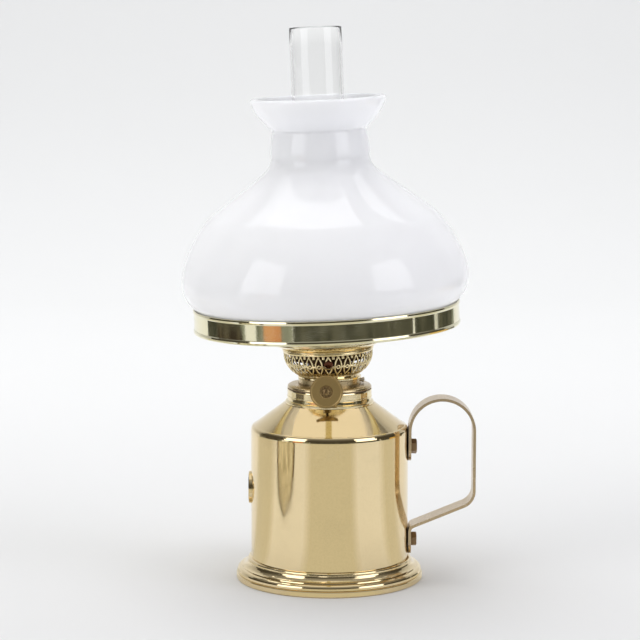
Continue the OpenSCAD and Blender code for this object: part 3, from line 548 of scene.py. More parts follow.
def swept(tree, curves, wide, thick, caps=True, tip=1.0):
    """Flat strip with rounded edges that follows curves on the bowl and faces outwards; tip narrows its end"""
    if tip < 1.0:
        along = add(tree, "GeometryNodeSplineParameter").outputs["Factor"]
        share = maths(tree, "SUBTRACT", 1.0, maths(tree, "MULTIPLY", along, 1.0 - tip))
        curves = add(tree, "GeometryNodeSetCurveRadius", {"Curve": curves, "Radius": share}).outputs[0]
    where = add(tree, "GeometryNodeInputPosition").outputs[0]
    outward = add(tree, "ShaderNodeVectorMath", {0: where, 1: (1.0, 1.0, 0.0)}, operation="MULTIPLY").outputs[0]
    facing = add(tree, "GeometryNodeSetCurveNormal", {"Curve": curves, "Normal": outward}, mode="FREE").outputs[0]
    ring = add(tree, "GeometryNodeCurvePrimitiveCircle", {"Resolution": 10, "Radius": 0.5}, mode="RADIUS").outputs[0]
    profile = add(tree, "GeometryNodeTransform", {"Geometry": ring, "Scale": vector(tree, thick, wide, 1.0)})
    return add(tree, "GeometryNodeCurveToMesh", {"Curve": facing, "Profile Curve": profile.outputs[0],
                                                 "Fill Caps": caps}).outputs[0]


def basket_tree():
    """Geometry Nodes that draw one cell of the pierced bowl, repeat it round and add the bands"""
    tree, given, out = group("Pierced bowl", "GeometryNodeTree", [
        ("Bands", "INPUT", "NodeSocketGeometry", None),
        ("Cells", "INPUT", "NodeSocketInt", 28),
        ("Top radius", "INPUT", "NodeSocketFloat", 0.025),
        ("Foot radius", "INPUT", "NodeSocketFloat", 0.018),
        ("Foot height", "INPUT", "NodeSocketFloat", 0.117),
        ("Height", "INPUT", "NodeSocketFloat", 0.014),
        ("Strip", "INPUT", "NodeSocketFloat", 0.001),
        ("Sheet", "INPUT", "NodeSocketFloat", 0.0007),
        ("Lean", "INPUT", "NodeSocketFloat", 0.0),
        ("Pivot", "INPUT", "NodeSocketFloat", 0.0),
        ("Finish", "INPUT", "NodeSocketMaterial", None),
        ("Piece", "OUTPUT", "NodeSocketGeometry", None),
    ])
    ribs = [strand(tree, (0.03 * side, 0.18), (0.98 * side, 0.34), (0.88 * side, 0.66), (0.03 * side, 0.89), 26)
            for side in (-1, 1)]
    narrow = maths(tree, "MULTIPLY", given["Strip"], 0.72)
    stout = maths(tree, "MULTIPLY", given["Strip"], 1.3)
    every = [swept(tree, on_bowl(tree, joined(tree, *ribs), given), narrow, given["Sheet"])]
    stems = [strand(tree, (0.0, 0.98), (0.0, 0.95), (0.0, 0.89), (0.0, 0.85), 6),
             strand(tree, (0.0, 0.03), (0.0, 0.08), (0.0, 0.16), (0.0, 0.22), 8)]
    every.append(swept(tree, on_bowl(tree, joined(tree, *stems), given), given["Strip"], given["Sheet"]))
    teeth = [strand(tree, (1.0, 0.97), (1.0, 0.94), (1.0, 0.88), (1.0, 0.82), 8),
             strand(tree, (1.0, 0.04), (1.0, 0.08), (1.0, 0.15), (1.0, 0.21), 8)]
    every.append(swept(tree, on_bowl(tree, joined(tree, *teeth), given), stout, given["Sheet"], True, 0.25))
    eye = add(tree, "GeometryNodeCurvePrimitiveCircle", {"Resolution": 20, "Radius": 1.0}, mode="RADIUS").outputs[0]
    drawn = add(tree, "GeometryNodeTransform", {
        "Geometry": eye, "Translation": (0.0, 0.0, 0.495), "Rotation": (math.radians(90), 0.0, 0.0),
        "Scale": (0.34, 0.062, 1.0)}).outputs[0]
    bars = [strand(tree, (0.42 * side, 0.495), (0.6 * side, 0.5), (0.8 * side, 0.505), (1.0 * side, 0.505), 6)
            for side in (-1, 1)]
    some = [swept(tree, on_bowl(tree, drawn, given), narrow, given["Sheet"], False),
            swept(tree, on_bowl(tree, joined(tree, *bars), given), given["Strip"], given["Sheet"])]
    line = add(tree, "GeometryNodeMeshLine", {"Count": given["Cells"], "Offset": (0.0, 0.0, 0.0)}).outputs[0]
    number = add(tree, "GeometryNodeInputIndex").outputs[0]
    pitch = maths(tree, "DIVIDE", 2 * math.pi, given["Cells"])
    turn = vector(tree, z=maths(tree, "MULTIPLY", number, pitch))
    full = add(tree, "GeometryNodeInstanceOnPoints", {"Points": line, "Instance": joined(tree, *every),
                                                      "Rotation": turn}).outputs[0]
    eyed = add(tree, "GeometryNodeInstanceOnPoints", {
        "Points": line, "Selection": maths(tree, "GREATER_THAN", number, 0.5),
        "Instance": joined(tree, *some), "Rotation": turn}).outputs[0]
    bands = revolve(tree, given["Bands"], 168)
    plate, lip = dimple(tree, given)
    marked = add(tree, "GeometryNodeStoreNamedAttribute", {"Geometry": plate, "Name": "pressed", "Value": 1.0},
                 data_type="FLOAT", domain="POINT").outputs[0]
    whole = joined(tree, bands, full, eyed, lip, marked)
    tilted = leaned(tree, whole, given["Lean"], given["Pivot"])
    tree.links.new(finished(tree, tilted, given["Finish"]), out["Piece"])
    return tree


def dimple(tree, given):
    """The pressed tongue at the bowl's front and the bright lip under it"""
    ball = add(tree, "GeometryNodeMeshUVSphere", {"Segments": 32, "Rings": 16, "Radius": 1.0}).outputs[0]
    share = maths(tree, "MULTIPLY", given["Height"], 0.61)
    height = maths(tree, "ADD", given["Foot height"], share)
    back = maths(tree, "MULTIPLY", maths(tree, "SUBTRACT", given["Top radius"], 0.1 * MM), -1.0)
    plate = add(tree, "GeometryNodeTransform", {
        "Geometry": ball, "Translation": vector(tree, y=back, z=height),
        "Rotation": (math.radians(102), 0.0, 0.0), "Scale": (2.4 * MM, 2.2 * MM, 0.35 * MM)}).outputs[0]
    lip = strand(tree, (-1.2, 0.5), (-0.6, 0.41), (0.6, 0.41), (1.2, 0.5), 16)
    return plate, swept(tree, on_bowl(tree, lip, given), given["Strip"], given["Strip"])


def wick_tree():
    """Geometry Nodes that weave a split tube: upright yarns and rows that pass over and under them"""
    tree, given, out = group("Woven wick", "GeometryNodeTree", [
        ("Base", "INPUT", "NodeSocketGeometry", None),
        ("Radius", "INPUT", "NodeSocketFloat", 0.0103),
        ("Yarn", "INPUT", "NodeSocketFloat", 0.00042),
        ("Foot height", "INPUT", "NodeSocketFloat", 0.023),
        ("Top height", "INPUT", "NodeSocketFloat", 0.151),
        ("Slit", "INPUT", "NodeSocketFloat", 60.0),
        ("Yarns", "INPUT", "NodeSocketInt", 40),
        ("Rows", "INPUT", "NodeSocketInt", 96),
        ("Finish", "INPUT", "NodeSocketMaterial", None),
        ("Piece", "OUTPUT", "NodeSocketGeometry", None),
    ])
    arc = maths(tree, "RADIANS", maths(tree, "SUBTRACT", 360.0, given["Slit"]))
    first = maths(tree, "ADD", math.radians(-90), maths(tree, "DIVIDE", maths(tree, "RADIANS", given["Slit"]), 2.0))
    tall = maths(tree, "SUBTRACT", given["Top height"], given["Foot height"])
    step = maths(tree, "DIVIDE", tall, given["Rows"])
    apart = maths(tree, "DIVIDE", arc, maths(tree, "SUBTRACT", given["Yarns"], 1.0))
    swing = maths(tree, "MULTIPLY", given["Yarn"], 0.75)
    circle = add(tree, "GeometryNodeCurvePrimitiveCircle", {"Resolution": 6, "Radius": given["Yarn"]},
                 mode="RADIUS").outputs[0]
    point = add(tree, "ShaderNodeSeparateXYZ", {0: add(tree, "GeometryNodeInputPosition").outputs[0]}).outputs

    def weave(count, end, steps, upright):
        """Lines drawn flat as (place along the arc, row), then bent round and woven"""
        line = add(tree, "GeometryNodeMeshLine", {"Count": count, "Offset": (1.0, 0.0, 0.0)}).outputs[0]
        curve = add(tree, "GeometryNodeCurvePrimitiveLine", {"Start": (0.0, 0.0, 0.0), "End": end}).outputs[0]
        fine = add(tree, "GeometryNodeResampleCurve", {"Curve": curve, "Count": steps}).outputs[0]
        many = add(tree, "GeometryNodeInstanceOnPoints", {"Points": line, "Instance": fine}).outputs[0]
        flat = add(tree, "GeometryNodeRealizeInstances", {"Geometry": many}).outputs[0]
        if not upright:
            swap = vector(tree, point[2], 0.0, maths(tree, "ADD", point[0], 0.5))
            flat = add(tree, "GeometryNodeSetPosition", {"Geometry": flat, "Position": swap}).outputs[0]
        side = 1.0 if upright else -1.0
        wave = maths(tree, "MULTIPLY", maths(tree, "COSINE", maths(tree, "MULTIPLY", point[0], math.pi)),
                     maths(tree, "COSINE", maths(tree, "MULTIPLY", maths(tree, "SUBTRACT", point[2], 0.5),
                                                 math.pi)))
        away = maths(tree, "MULTIPLY", maths(tree, "MULTIPLY", wave, swing), side)
        radius = maths(tree, "ADD", given["Radius"], away)
        angle = maths(tree, "ADD", first, maths(tree, "MULTIPLY", point[0], apart))
        bent = vector(tree, maths(tree, "MULTIPLY", radius, maths(tree, "COSINE", angle)),
                      maths(tree, "MULTIPLY", radius, maths(tree, "SINE", angle)),
                      maths(tree, "ADD", given["Foot height"], maths(tree, "MULTIPLY", point[2], step)))
        woven = add(tree, "GeometryNodeSetPosition", {"Geometry": flat, "Position": bent}).outputs[0]
        return add(tree, "GeometryNodeCurveToMesh", {"Curve": woven, "Profile Curve": circle,
                                                     "Fill Caps": True}).outputs[0]

    rows_end = vector(tree, z=maths(tree, "ADD", given["Rows"], 0.0))
    yarns_end = vector(tree, z=maths(tree, "SUBTRACT", given["Yarns"], 1.0))
    yarns = weave(given["Yarns"], rows_end, maths(tree, "MULTIPLY", given["Rows"], 2.0), True)
    rows = weave(given["Rows"], yarns_end, maths(tree, "MULTIPLY", given["Yarns"], 2.0), False)
    tree.links.new(finished(tree, joined(tree, yarns, rows), given["Finish"]), out["Piece"])
    return tree


TREES = {}


def tree_of(name, maker):
    """A Geometry Nodes tree, made the first time that it is asked for"""
    if name not in TREES:
        TREES[name] = maker()
    return TREES[name]


def baked(name, source, tree, values):
    """Runs a Geometry Nodes tree on source and keeps its result as a plain mesh object"""
    modifier = source.modifiers.new("Nodes", "NODES")
    modifier.node_group = tree
    for item in tree.interface.items_tree:
        if item.item_type == "SOCKET" and item.in_out == "INPUT" and item.name in values:
            modifier[item.identifier] = values[item.name]
    source.update_tag()
    bpy.context.view_layer.update()
    shown = source.evaluated_get(bpy.context.evaluated_depsgraph_get())
    mesh = bpy.data.meshes.new_from_object(shown)
    mesh.name = name
    bpy.data.objects.remove(source)
    made = bpy.data.objects.new(name, mesh)
    bpy.context.scene.collection.objects.link(made)
    return made


def face_out(piece):
    """Turns a closed mesh's faces outwards if they point inwards"""
    mesh = piece.data
    mesh.calc_loop_triangles()
    volume = 0.0
    for triangle in mesh.loop_triangles:
        a, b, c = (mesh.vertices[i].co for i in triangle.vertices)
        volume += a.dot(b.cross(c)) / 6
    if volume < 0:
        mesh.flip_normals()
    return piece


def stand_for(piece, *nodes):
    """The piece takes the place of CAD nodes of one body and one finish"""
    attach(piece, BODY_OF[nodes[0]])
    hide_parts(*nodes)


# Operators


class LampOperator(bpy.types.Operator):
    """Shared settings of the lamp's operators"""

    bl_idname = "lamp.base"
    bl_label = "Lamp step"
    bl_options = {"REGISTER", "UNDO"}

    @property
    def sizes(self):
        return bpy.context.scene.lamp_sizes

    @property
    def colours(self):
        return bpy.context.scene.lamp_colours

    @property
    def studio(self):
        return bpy.context.scene.lamp_studio


class LAMP_OT_camera(LampOperator):
    """Stands the camera where the photograph was taken"""

    bl_idname = "lamp.camera"
    bl_label = "Camera"

    def execute(self, context):
        lens = bpy.data.cameras.new("camera")
        lens.lens = self.studio.lens
        lens.sensor_width = 36
        lens.clip_start = 0.05
        lens.clip_end = 40
        camera = bpy.data.objects.new("camera", lens)
        context.scene.collection.objects.link(camera)
        camera.location = self.studio.place
        camera.rotation_euler = (math.radians(90) - self.studio.tilt, 0, 0)
        context.scene.camera = camera
        return {"FINISHED"}


class LAMP_OT_font(LampOperator):
    """Finishes the foot and the font, with its collar and badge"""

    bl_idname = "lamp.font"
    bl_label = "Font and foot"

    def execute(self, context):
        body = brass("font brass", self.colours.polished, (0.20, 0.12, 0.05), 0.045, tarnish=0.35)
        dress(body, "foot", "font_cylinder", "badge")
        cone = brass("shoulder brass", self.colours.polished, (0.20, 0.12, 0.05), 0.045, tarnish=0.35, bow=0.12)
        dress(cone, "font_shoulder")
        inside = brass("inner brass", self.colours.burner, (0.10, 0.06, 0.03), 0.35, tarnish=0.8)
        dress(inside, "base_plate", "font_floor", "handle_bosses")
        collar = brass("collar brass", [c * 0.93 for c in self.colours.gold], (0.16, 0.10, 0.05), 0.06, tarnish=0.7)
        dress(collar, "font_collar")
        return {"FINISHED"}


class LAMP_OT_handle(LampOperator):
    """Finishes the handle's strip and its two bolts"""

    bl_idname = "lamp.handle"
    bl_label = "Handle"

    def execute(self, context):
        strip = brass("handle brass", self.colours.handle, (0.12, 0.08, 0.04), 0.22, wave=6e-6, tarnish=0.5,
                      wear=0.5, turn=(math.radians(90), 0, 0))
        dress(strip, "handle")
        bolt = brass("bolt brass", (0.30, 0.20, 0.11), (0.06, 0.04, 0.02), 0.3, tarnish=0.9, reach=0.003)
        dress(bolt, "handle_bolts")
        return {"FINISHED"}


class LAMP_OT_burner(LampOperator):
    """Finishes the burner, its tubes and the sealing ring under it"""

    bl_idname = "lamp.burner"
    bl_label = "Burner"

    def execute(self, context):
        duller = brass("burner brass", self.colours.burner, (0.10, 0.06, 0.03), 0.2, tarnish=0.8)
        dress(duller, "burner_base", "burner_neck", "spindle_bush", "gland_nut")
        # Painted highlight: the bead at the top of the neck is coloured brighter
        self.brighten_above(duller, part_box("burner_neck")[1].z - 3.3 * MM)
        # Painted highlight: the catch is coloured near white to stand for the glints on its small stud
        pin = brass("catch brass", (0.95, 0.90, 0.82), (0.6, 0.5, 0.4), 0.45, tarnish=0.1)
        dress(pin, "gallery_catch")
        # Partly heat browning and partly painted shade: the tubes take the darkened heated brass, with near-black
        # corners
        tubes = brass("tube brass", self.colours.inside, (0.02, 0.012, 0.008), 0.45, tarnish=1.0, reach=0.004)
        dress(tubes, "wick_tube", "air_tube", "wick_spindle", "claw_wheels")
        seal, tree, shader, spot = new_material("sealing ring")
        grain = add(tree, "ShaderNodeTexNoise", {"Vector": spot, "Scale": 900.0, "Detail": 4.0}).outputs[0]
        tree.links.new(mixed(tree, grain, (0.05, 0.025, 0.015), (0.16, 0.09, 0.05)), shader.inputs["Base Color"])
        shader.inputs["Roughness"].default_value = 0.7
        bumped(tree, shader, maths(tree, "MULTIPLY", grain, 4e-5))
        dress(seal, "burner_gasket")
        return {"FINISHED"}


    def brighten_above(self, material, height):
        """Leaves the metal above a height smoother, as where the gallery's foot rubs it, and brighter in colour, a
        painted highlight along the bead
        """
        tree = material.node_tree
        shader = next(node for node in tree.nodes if node.type == "BSDF_PRINCIPLED")
        where = add(tree, "ShaderNodeTexCoord").outputs["Object"]
        up = add(tree, "ShaderNodeSeparateXYZ", {0: where}).outputs[2]
        share = scaled(tree, up, height, height + 0.2 * MM)
        colour = shader.inputs["Base Color"].links[0].from_socket
        tree.links.new(mixed(tree, share, colour, self.colours.gold), shader.inputs["Base Color"])
        rough = shader.inputs["Roughness"].links[0].from_socket
        smoother = maths(tree, "SUBTRACT", 1.0, maths(tree, "MULTIPLY", share, 0.7))
        tree.links.new(maths(tree, "MULTIPLY", rough, smoother), shader.inputs["Roughness"])


class LAMP_OT_raiser(LampOperator):
    """Finishes the wick knob and its riveted shaft end"""

    bl_idname = "lamp.raiser"
    bl_label = "Wick knob"

    def execute(self, context):
        low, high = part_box("wick_knob")
        centre = (low + high) / 2
        turn = Matrix.Rotation(math.radians(90), 3, "X")
        aged = brass("knob brass", self.colours.knob, (0.08, 0.05, 0.025), 0.36, pitch=0.0004, marks=6e-6,
                     tarnish=1.0, reach=0.004, wear=0.8, place=tuple(-(turn @ centre)), turn=(math.radians(90), 0, 0))
        self.darken_middle(aged)
        dress(aged, "wick_knob", "knob_rivet")
        return {"FINISHED"}

    def darken_middle(self, material):
        """Darkens the dished middle round the riveted end, in ragged patches"""
        tree = material.node_tree
        shader = next(node for node in tree.nodes if node.type == "BSDF_PRINCIPLED")
        spot = next(node for node in tree.nodes if node.type == "MAPPING").outputs[0]
        flat = add(tree, "ShaderNodeVectorMath", {0: spot, 1: (1.0, 1.0, 0.0)}, operation="MULTIPLY").outputs[0]
        away = add(tree, "ShaderNodeVectorMath", {0: flat}, operation="LENGTH").outputs["Value"]
        grain = add(tree, "ShaderNodeTexNoise", {"Vector": spot, "Scale": 1300.0, "Detail": 3.0}).outputs[0]
        ragged = maths(tree, "ADD", away, maths(tree, "MULTIPLY", maths(tree, "SUBTRACT", grain, 0.5), 0.8 * MM))
        inside = scaled(tree, ragged, 3.9 * MM, 3.3 * MM)
        darker_middle = maths(tree, "MULTIPLY", inside, scaled(tree, grain, 0.38, 0.6, 0.25, 0.85))
        colour = shader.inputs["Base Color"].links[0].from_socket
        tree.links.new(mixed(tree, darker_middle, colour, (0.16, 0.10, 0.055)), shader.inputs["Base Color"])


class LAMP_OT_wick(LampOperator):
    """Weaves the cotton wick"""

    bl_idname = "lamp.wick"
    bl_label = "Wick"

    def execute(self, context):
        source = outline_object("wick base", [(0, 0), (MM, 0), (0, MM)])
        piece = baked("woven_wick", source, tree_of("wick", wick_tree), {
            "Radius": width(WICK_LOW, WICK_HIGH) / 2 - WICK_WALL / 2, "Yarn": WICK_WALL * 0.21,
            "Foot height": WICK_LOW.z + 0.5 * MM, "Top height": WICK_HIGH.z - 0.5 * MM,
            "Finish": self.cotton()})
        stand_for(face_out(piece), "wick")
        return {"FINISHED"}

    def cotton(self):
        """Cotton, soaked yellow low down and charred at its rim"""
        cotton, tree, shader, spot = new_material("wick cotton")
        height = add(tree, "ShaderNodeSeparateXYZ", {0: spot}).outputs[2]
        grain = add(tree, "ShaderNodeTexNoise", {"Vector": spot, "Scale": 700.0, "Detail": 5.0}).outputs[0]
        yarn = mixed(tree, grain, [c * 0.6 for c in self.colours.cotton], self.colours.cotton)
        soaked = mixed(tree, scaled(tree, height, 0.10, 0.06), yarn, (0.45, 0.36, 0.20))
        ragged = maths(tree, "ADD", height, maths(tree, "MULTIPLY", grain, 0.0016))
        top = WICK_HIGH.z
        browned = mixed(tree, scaled(tree, ragged, top - 0.004, top - 0.001), soaked, (0.10, 0.05, 0.02))
        charred = scaled(tree, ragged, top - 0.0016, top - 0.0004)
        tree.links.new(mixed(tree, charred, browned, (0.008, 0.007, 0.006)), shader.inputs["Base Color"])
        shader.inputs["Roughness"].default_value = 0.9
        shader.inputs["Sheen Weight"].default_value = 0.2
        bumped(tree, shader, maths(tree, "MULTIPLY", grain, 1e-4))
        return cotton


class LAMP_OT_gallery(LampOperator):
    """Finishes the basket, the chimney's holder and the flared rim"""

    bl_idname = "lamp.gallery"
    bl_label = "Gallery"

    def execute(self, context):
        open_work = brass("gallery brass", self.colours.gallery, (0.10, 0.05, 0.02), 0.14, tarnish=0.8,
                          **lean_turn())
        self.brown_plate(open_work)
        rim = brass("rim brass", self.colours.gold, (0.20, 0.12, 0.05), 0.09, pitch=0.0008, marks=6e-6,
                    tarnish=0.4, reach=0.001, **lean_turn())
        dress(rim, "gallery_rim")
        foot_r, top_r, low = BASKET_FOOT_R, BASKET_R, BASKET_Z
        bands = outline_object("bowl bands", ring_loop(top_r - 0.05 * MM, low + BASKET_TALL, 0.4 * MM, 0.9 * MM))
        add_loop(bands, ring_loop(foot_r - 0.1 * MM, low + 0.65 * MM, 0.4 * MM, 0.65 * MM))
        add_loop(bands, ring_loop(foot_r - 1.5 * MM, low + 0.35 * MM, 1.4 * MM, 0.35 * MM))
        piece = baked("pierced_bowl", bands, tree_of("basket", basket_tree), {
            "Cells": BASKET_CELLS, "Top radius": top_r - 0.35 * MM, "Foot radius": foot_r - 0.35 * MM,
            "Foot height": low, "Height": BASKET_TALL, "Strip": 1.25 * MM, "Sheet": 0.7 * MM,
            "Lean": self.sizes.lean, "Pivot": self.sizes.pivot, "Finish": open_work})
        stand_for(face_out(piece), "gallery_basket")
        # Painted shade: the holder is heat-browned brass made darker still, with near-black corners, so that the
        # basket's openings look dark inside
        holder = brass("holder brass", self.colours.inside, (0.02, 0.01, 0.006), 0.5, tarnish=0.9,
                       reach=0.006, **lean_turn())
        dress(holder, "chimney_holder")
        return {"FINISHED"}

    def brown_plate(self, material):
        """Darkens the pressed tongue at the front to a reddish brown"""
        tree = material.node_tree
        shader = next(node for node in tree.nodes if node.type == "BSDF_PRINCIPLED")
        pressed = add(tree, "ShaderNodeAttribute", attribute_name="pressed").outputs["Fac"]
        colour = shader.inputs["Base Color"].links[0].from_socket
        tree.links.new(mixed(tree, pressed, colour, (0.13, 0.05, 0.03)), shader.inputs["Base Color"])


class LAMP_OT_carrier(LampOperator):
    """Finishes the hub, the arms and the ring that carry the shade"""

    bl_idname = "lamp.carrier"
    bl_label = "Shade carrier"

    def execute(self, context):
        arms = brass("arm brass", self.colours.gallery, (0.10, 0.06, 0.03), 0.2, tarnish=0.6, **lean_turn())
        dress(arms, "shade_hub", "shade_arm_1", "shade_arm_2", "shade_arm_3", "arm_rivets")
        ring = brass("ring brass", self.colours.pale, (0.14, 0.11, 0.05), 0.05, tarnish=0.5, speckle=8e-6,
                     **lean_turn())
        dress(ring, "shade_ring")
        return {"FINISHED"}


def chimney_outline(sizes):
    """Closed outline of the chimney's wall"""
    low = SEAT_Z
    foot_r = CHIMNEY_FOOT / 2
    tube_r = sizes.chimney_width / 2
    waist = (WAIST_R, low + 43.5 * MM)
    top = low + CHIMNEY_TALL
    path = [(foot_r, low + 0.3 * MM)]
    path += [(foot_r, low + CHIMNEY_STRAIGHT * i / 6) for i in range(1, 6)]
    path += bezier((foot_r, low + 30 * MM), (foot_r, low + 36 * MM), (WAIST_R, low + 36.5 * MM), waist, 20)
    path += bezier(waist, (WAIST_R, low + 47 * MM), (tube_r, low + 50 * MM), (tube_r, low + 57 * MM), 14)
    path += [(tube_r, low + 57 * MM + (top - low - 57.8 * MM) * i / 12) for i in range(13)]
    return walled(path, sizes.chimney_wall)


def shade_outline(sizes):
    """Closed outline of the opal shade's wall"""
    wide_r = sizes.shade_width / 2
    neck_r = sizes.shade_neck / 2
    foot_r = width(RING_LOW, RING_HIGH) / 2 - 1.8 * MM
    top = SHADE_FOOT_Z + SHADE_TALL
    foot_top = SHADE_FOOT_Z + 10.4 * MM
    wide = (wide_r, foot_top + 14.6 * MM)
    hip = (wide_r - 15.3 * MM, top - 66.9 * MM)
    shoulder = (neck_r + 7 * MM, top - 42.9 * MM)
    neck_low = (neck_r + 0.3 * MM, top - 33.4 * MM)
    neck_high = (neck_r - 1.2 * MM, top - 17.4 * MM)
    lip = (sizes.shade_top / 2, top - 1.2 * MM)
    path = [(foot_r, SHADE_FOOT_Z + 0.6 * MM), (foot_r, SHADE_FOOT_Z + 4 * MM), (foot_r, SHADE_FOOT_Z + 8 * MM)]
    path += sweep((foot_r, foot_top), wide, (0.33, 0.11), (0, 0.51), 18)
    path += sweep(wide, hip, (0, 0.32), (0.45, 0.24), 24)
    path += sweep(hip, shoulder, (0.12, 0.18), (0.4, 0.41), 24)
    path += sweep(shoulder, neck_low, (0.48, 0.26), (0.09, 0.45), 14)
    path += sweep(neck_low, neck_high, (-0.6, 0.26), (0.87, 0.36), 14)
    path += sweep(neck_high, lip, (0.16, 0.11), (0.2, 0.52), 18)
    path.append(lip)
    return walled(path, sizes.shade_wall)


# Heights along the leaned axis, and widths, that the frame's boxes don't give by themselves
BASKET_Z = 117.12 * MM
BASKET_TALL = 13.9 * MM
BASKET_R = 25.2 * MM
BASKET_FOOT_R = 17.9 * MM
BASKET_CELLS = 28
WICK_WALL = 2.0 * MM
SEAT_Z = 126.37 * MM
CHIMNEY_FOOT = width(TUBE_LOW, TUBE_HIGH)
CHIMNEY_STRAIGHT = 30 * MM
CHIMNEY_TALL = 184.9 * MM
WAIST_R = 13.5 * MM
SHADE_FOOT_Z = 146.07 * MM
SHADE_TALL = 126 * MM


class LAMP_OT_chimney(LampOperator):
    """Blows the clear glass chimney"""

    bl_idname = "lamp.chimney"
    bl_label = "Chimney"

    def execute(self, context):
        glass, tree, shader, spot = new_material("clear glass", **lean_turn())
        shader.inputs["Base Color"].default_value = (0.995, 0.996, 0.993, 1)
        shader.inputs["Transmission Weight"].default_value = 1.0
        shader.inputs["IOR"].default_value = 1.47
        film = use_group(tree, "handled", {"Place": spot, "Size": 0.05})
        tree.links.new(scaled(tree, film["Smudge"], 0, 1, 0.0, 0.02), shader.inputs["Roughness"])
        source = outline_object("chimney outline", chimney_outline(self.sizes))
        piece = baked("clear_chimney", source, tree_of("turned", turned_tree), {
            "Sides": 128, "Ripple": self.sizes.glass_ripple, "Ripple size": 0.02, "Seed": 3.0,
            "Lean": self.sizes.lean, "Pivot": self.sizes.pivot, "Finish": glass})
        stand_for(face_out(piece), "chimney")
        return {"FINISHED"}


class LAMP_OT_shade(LampOperator):
    """Blows the opal glass shade"""

    bl_idname = "lamp.shade"
    bl_label = "Shade"

    def execute(self, context):
        opal, tree, shader, spot = new_material("opal glass", **lean_turn())
        cloud = add(tree, "ShaderNodeTexNoise", {"Vector": spot, "Scale": 18.0, "Detail": 3.0}).outputs[0]
        tree.links.new(mixed(tree, cloud, [c * 0.985 for c in self.colours.opal], self.colours.opal),
                       shader.inputs["Base Color"])
        film = use_group(tree, "handled", {"Place": spot, "Size": 0.06})
        tree.links.new(scaled(tree, film["Smudge"], 0, 1, 0.03, 0.09), shader.inputs["Roughness"])
        shader.inputs["Subsurface Weight"].default_value = 1.0
        shader.inputs["Subsurface Radius"].default_value = (1.0, 1.0, 1.0)
        shader.inputs["Subsurface Scale"].default_value = 0.006
        shader.inputs["IOR"].default_value = 1.5
        source = outline_object("shade outline", shade_outline(self.sizes))
        piece = baked("opal_shade", source, tree_of("turned", turned_tree), {
            "Sides": 192, "Ripple": self.sizes.glass_ripple * 2, "Ripple size": 0.04, "Seed": 8.0,
            "Lean": self.sizes.lean, "Pivot": self.sizes.pivot, "Finish": opal})
        stand_for(face_out(piece), "glass_shade")
        return {"FINISHED"}


# The studio


def stage_mesh(name, points, faces, material):
    """A mesh that belongs to the studio"""
    mesh = bpy.data.meshes.new(name)
    mesh.from_pydata(points, [], faces)
    mesh.materials.append(material)
    made = bpy.data.objects.new(name, mesh)
    bpy.context.scene.collection.objects.link(made)
    return made


def paper(name, colour, rough=0.9):
    """Plain pale paper"""
    material, tree, shader, spot = new_material(name)
    grain = add(tree, "ShaderNodeTexNoise", {"Vector": spot, "Scale": 6.0, "Detail": 2.0}).outputs[0]
    tree.links.new(mixed(tree, grain, [c * 0.99 for c in colour], colour), shader.inputs["Base Color"])
    shader.inputs["Roughness"].default_value = rough
    shader.inputs["Specular IOR Level"].default_value = 0.0
    return material


def glow(name, colour, strength, second=None, size=9.0):
    """A surface that gives light of its own, mottled with a second colour if there is one"""
    material = bpy.data.materials.new(name)
    material.use_nodes = True
    tree = material.node_tree
    tree.nodes.clear()
    light = add(tree, "ShaderNodeEmission", {"Color": (*colour, 1), "Strength": strength})
    if second:
        where = add(tree, "ShaderNodeTexCoord").outputs["Object"]
        patches = add(tree, "ShaderNodeTexNoise", {"Vector": where, "Scale": size, "Detail": 6.0,
                                                   "Roughness": 0.65}).outputs[0]
        tree.links.new(mixed(tree, scaled(tree, patches, 0.42, 0.62), colour, second), light.inputs["Color"])
    leave = add(tree, "ShaderNodeOutputMaterial")
    tree.links.new(light.outputs[0], leave.inputs[0])
    return material


def soft_box(name, place, aim, size, power, colour=(1, 1, 1)):
    """A rectangular studio light"""
    light = bpy.data.lights.new(name, "AREA")
    light.shape = "RECTANGLE"
    light.size, light.size_y = size
    light.energy = power
    light.color = colour
    made = bpy.data.objects.new(name, light)
    bpy.context.scene.collection.objects.link(made)
    made.location = place
    made.rotation_mode = "QUATERNION"
    made.rotation_quaternion = (Vector(aim) - Vector(place)).to_track_quat("-Z", "Y")
    return made


def around(azimuth, distance, height=0.0):
    """A point round the lamp; azimuth 0 is towards the camera and 90 is towards the handle"""
    angle = math.radians(azimuth)
    return (math.sin(angle) * distance, -math.cos(angle) * distance, height)


def only_mirrored(card):
    """Hides a card from everything but mirroring surfaces"""
    card.visible_camera = False
    card.visible_diffuse = False
    card.visible_shadow = False
    card.visible_transmission = False


def screen(name, start, end, near, far, tall, material):
    """A sloping screen on the table round the lamp from one azimuth to another, seen only by shiny things"""
    count = max(2, int((end - start) / 4))
    angles = [start + (end - start) * i / count for i in range(count + 1)]
    points = [around(a, r, h) for a in angles for r, h in ((near, 0.001), (far, tall))]
    faces = [(2 * i, 2 * i + 2, 2 * i + 3, 2 * i + 1) for i in range(count)]
    only_mirrored(stage_mesh(name, points, faces, material))


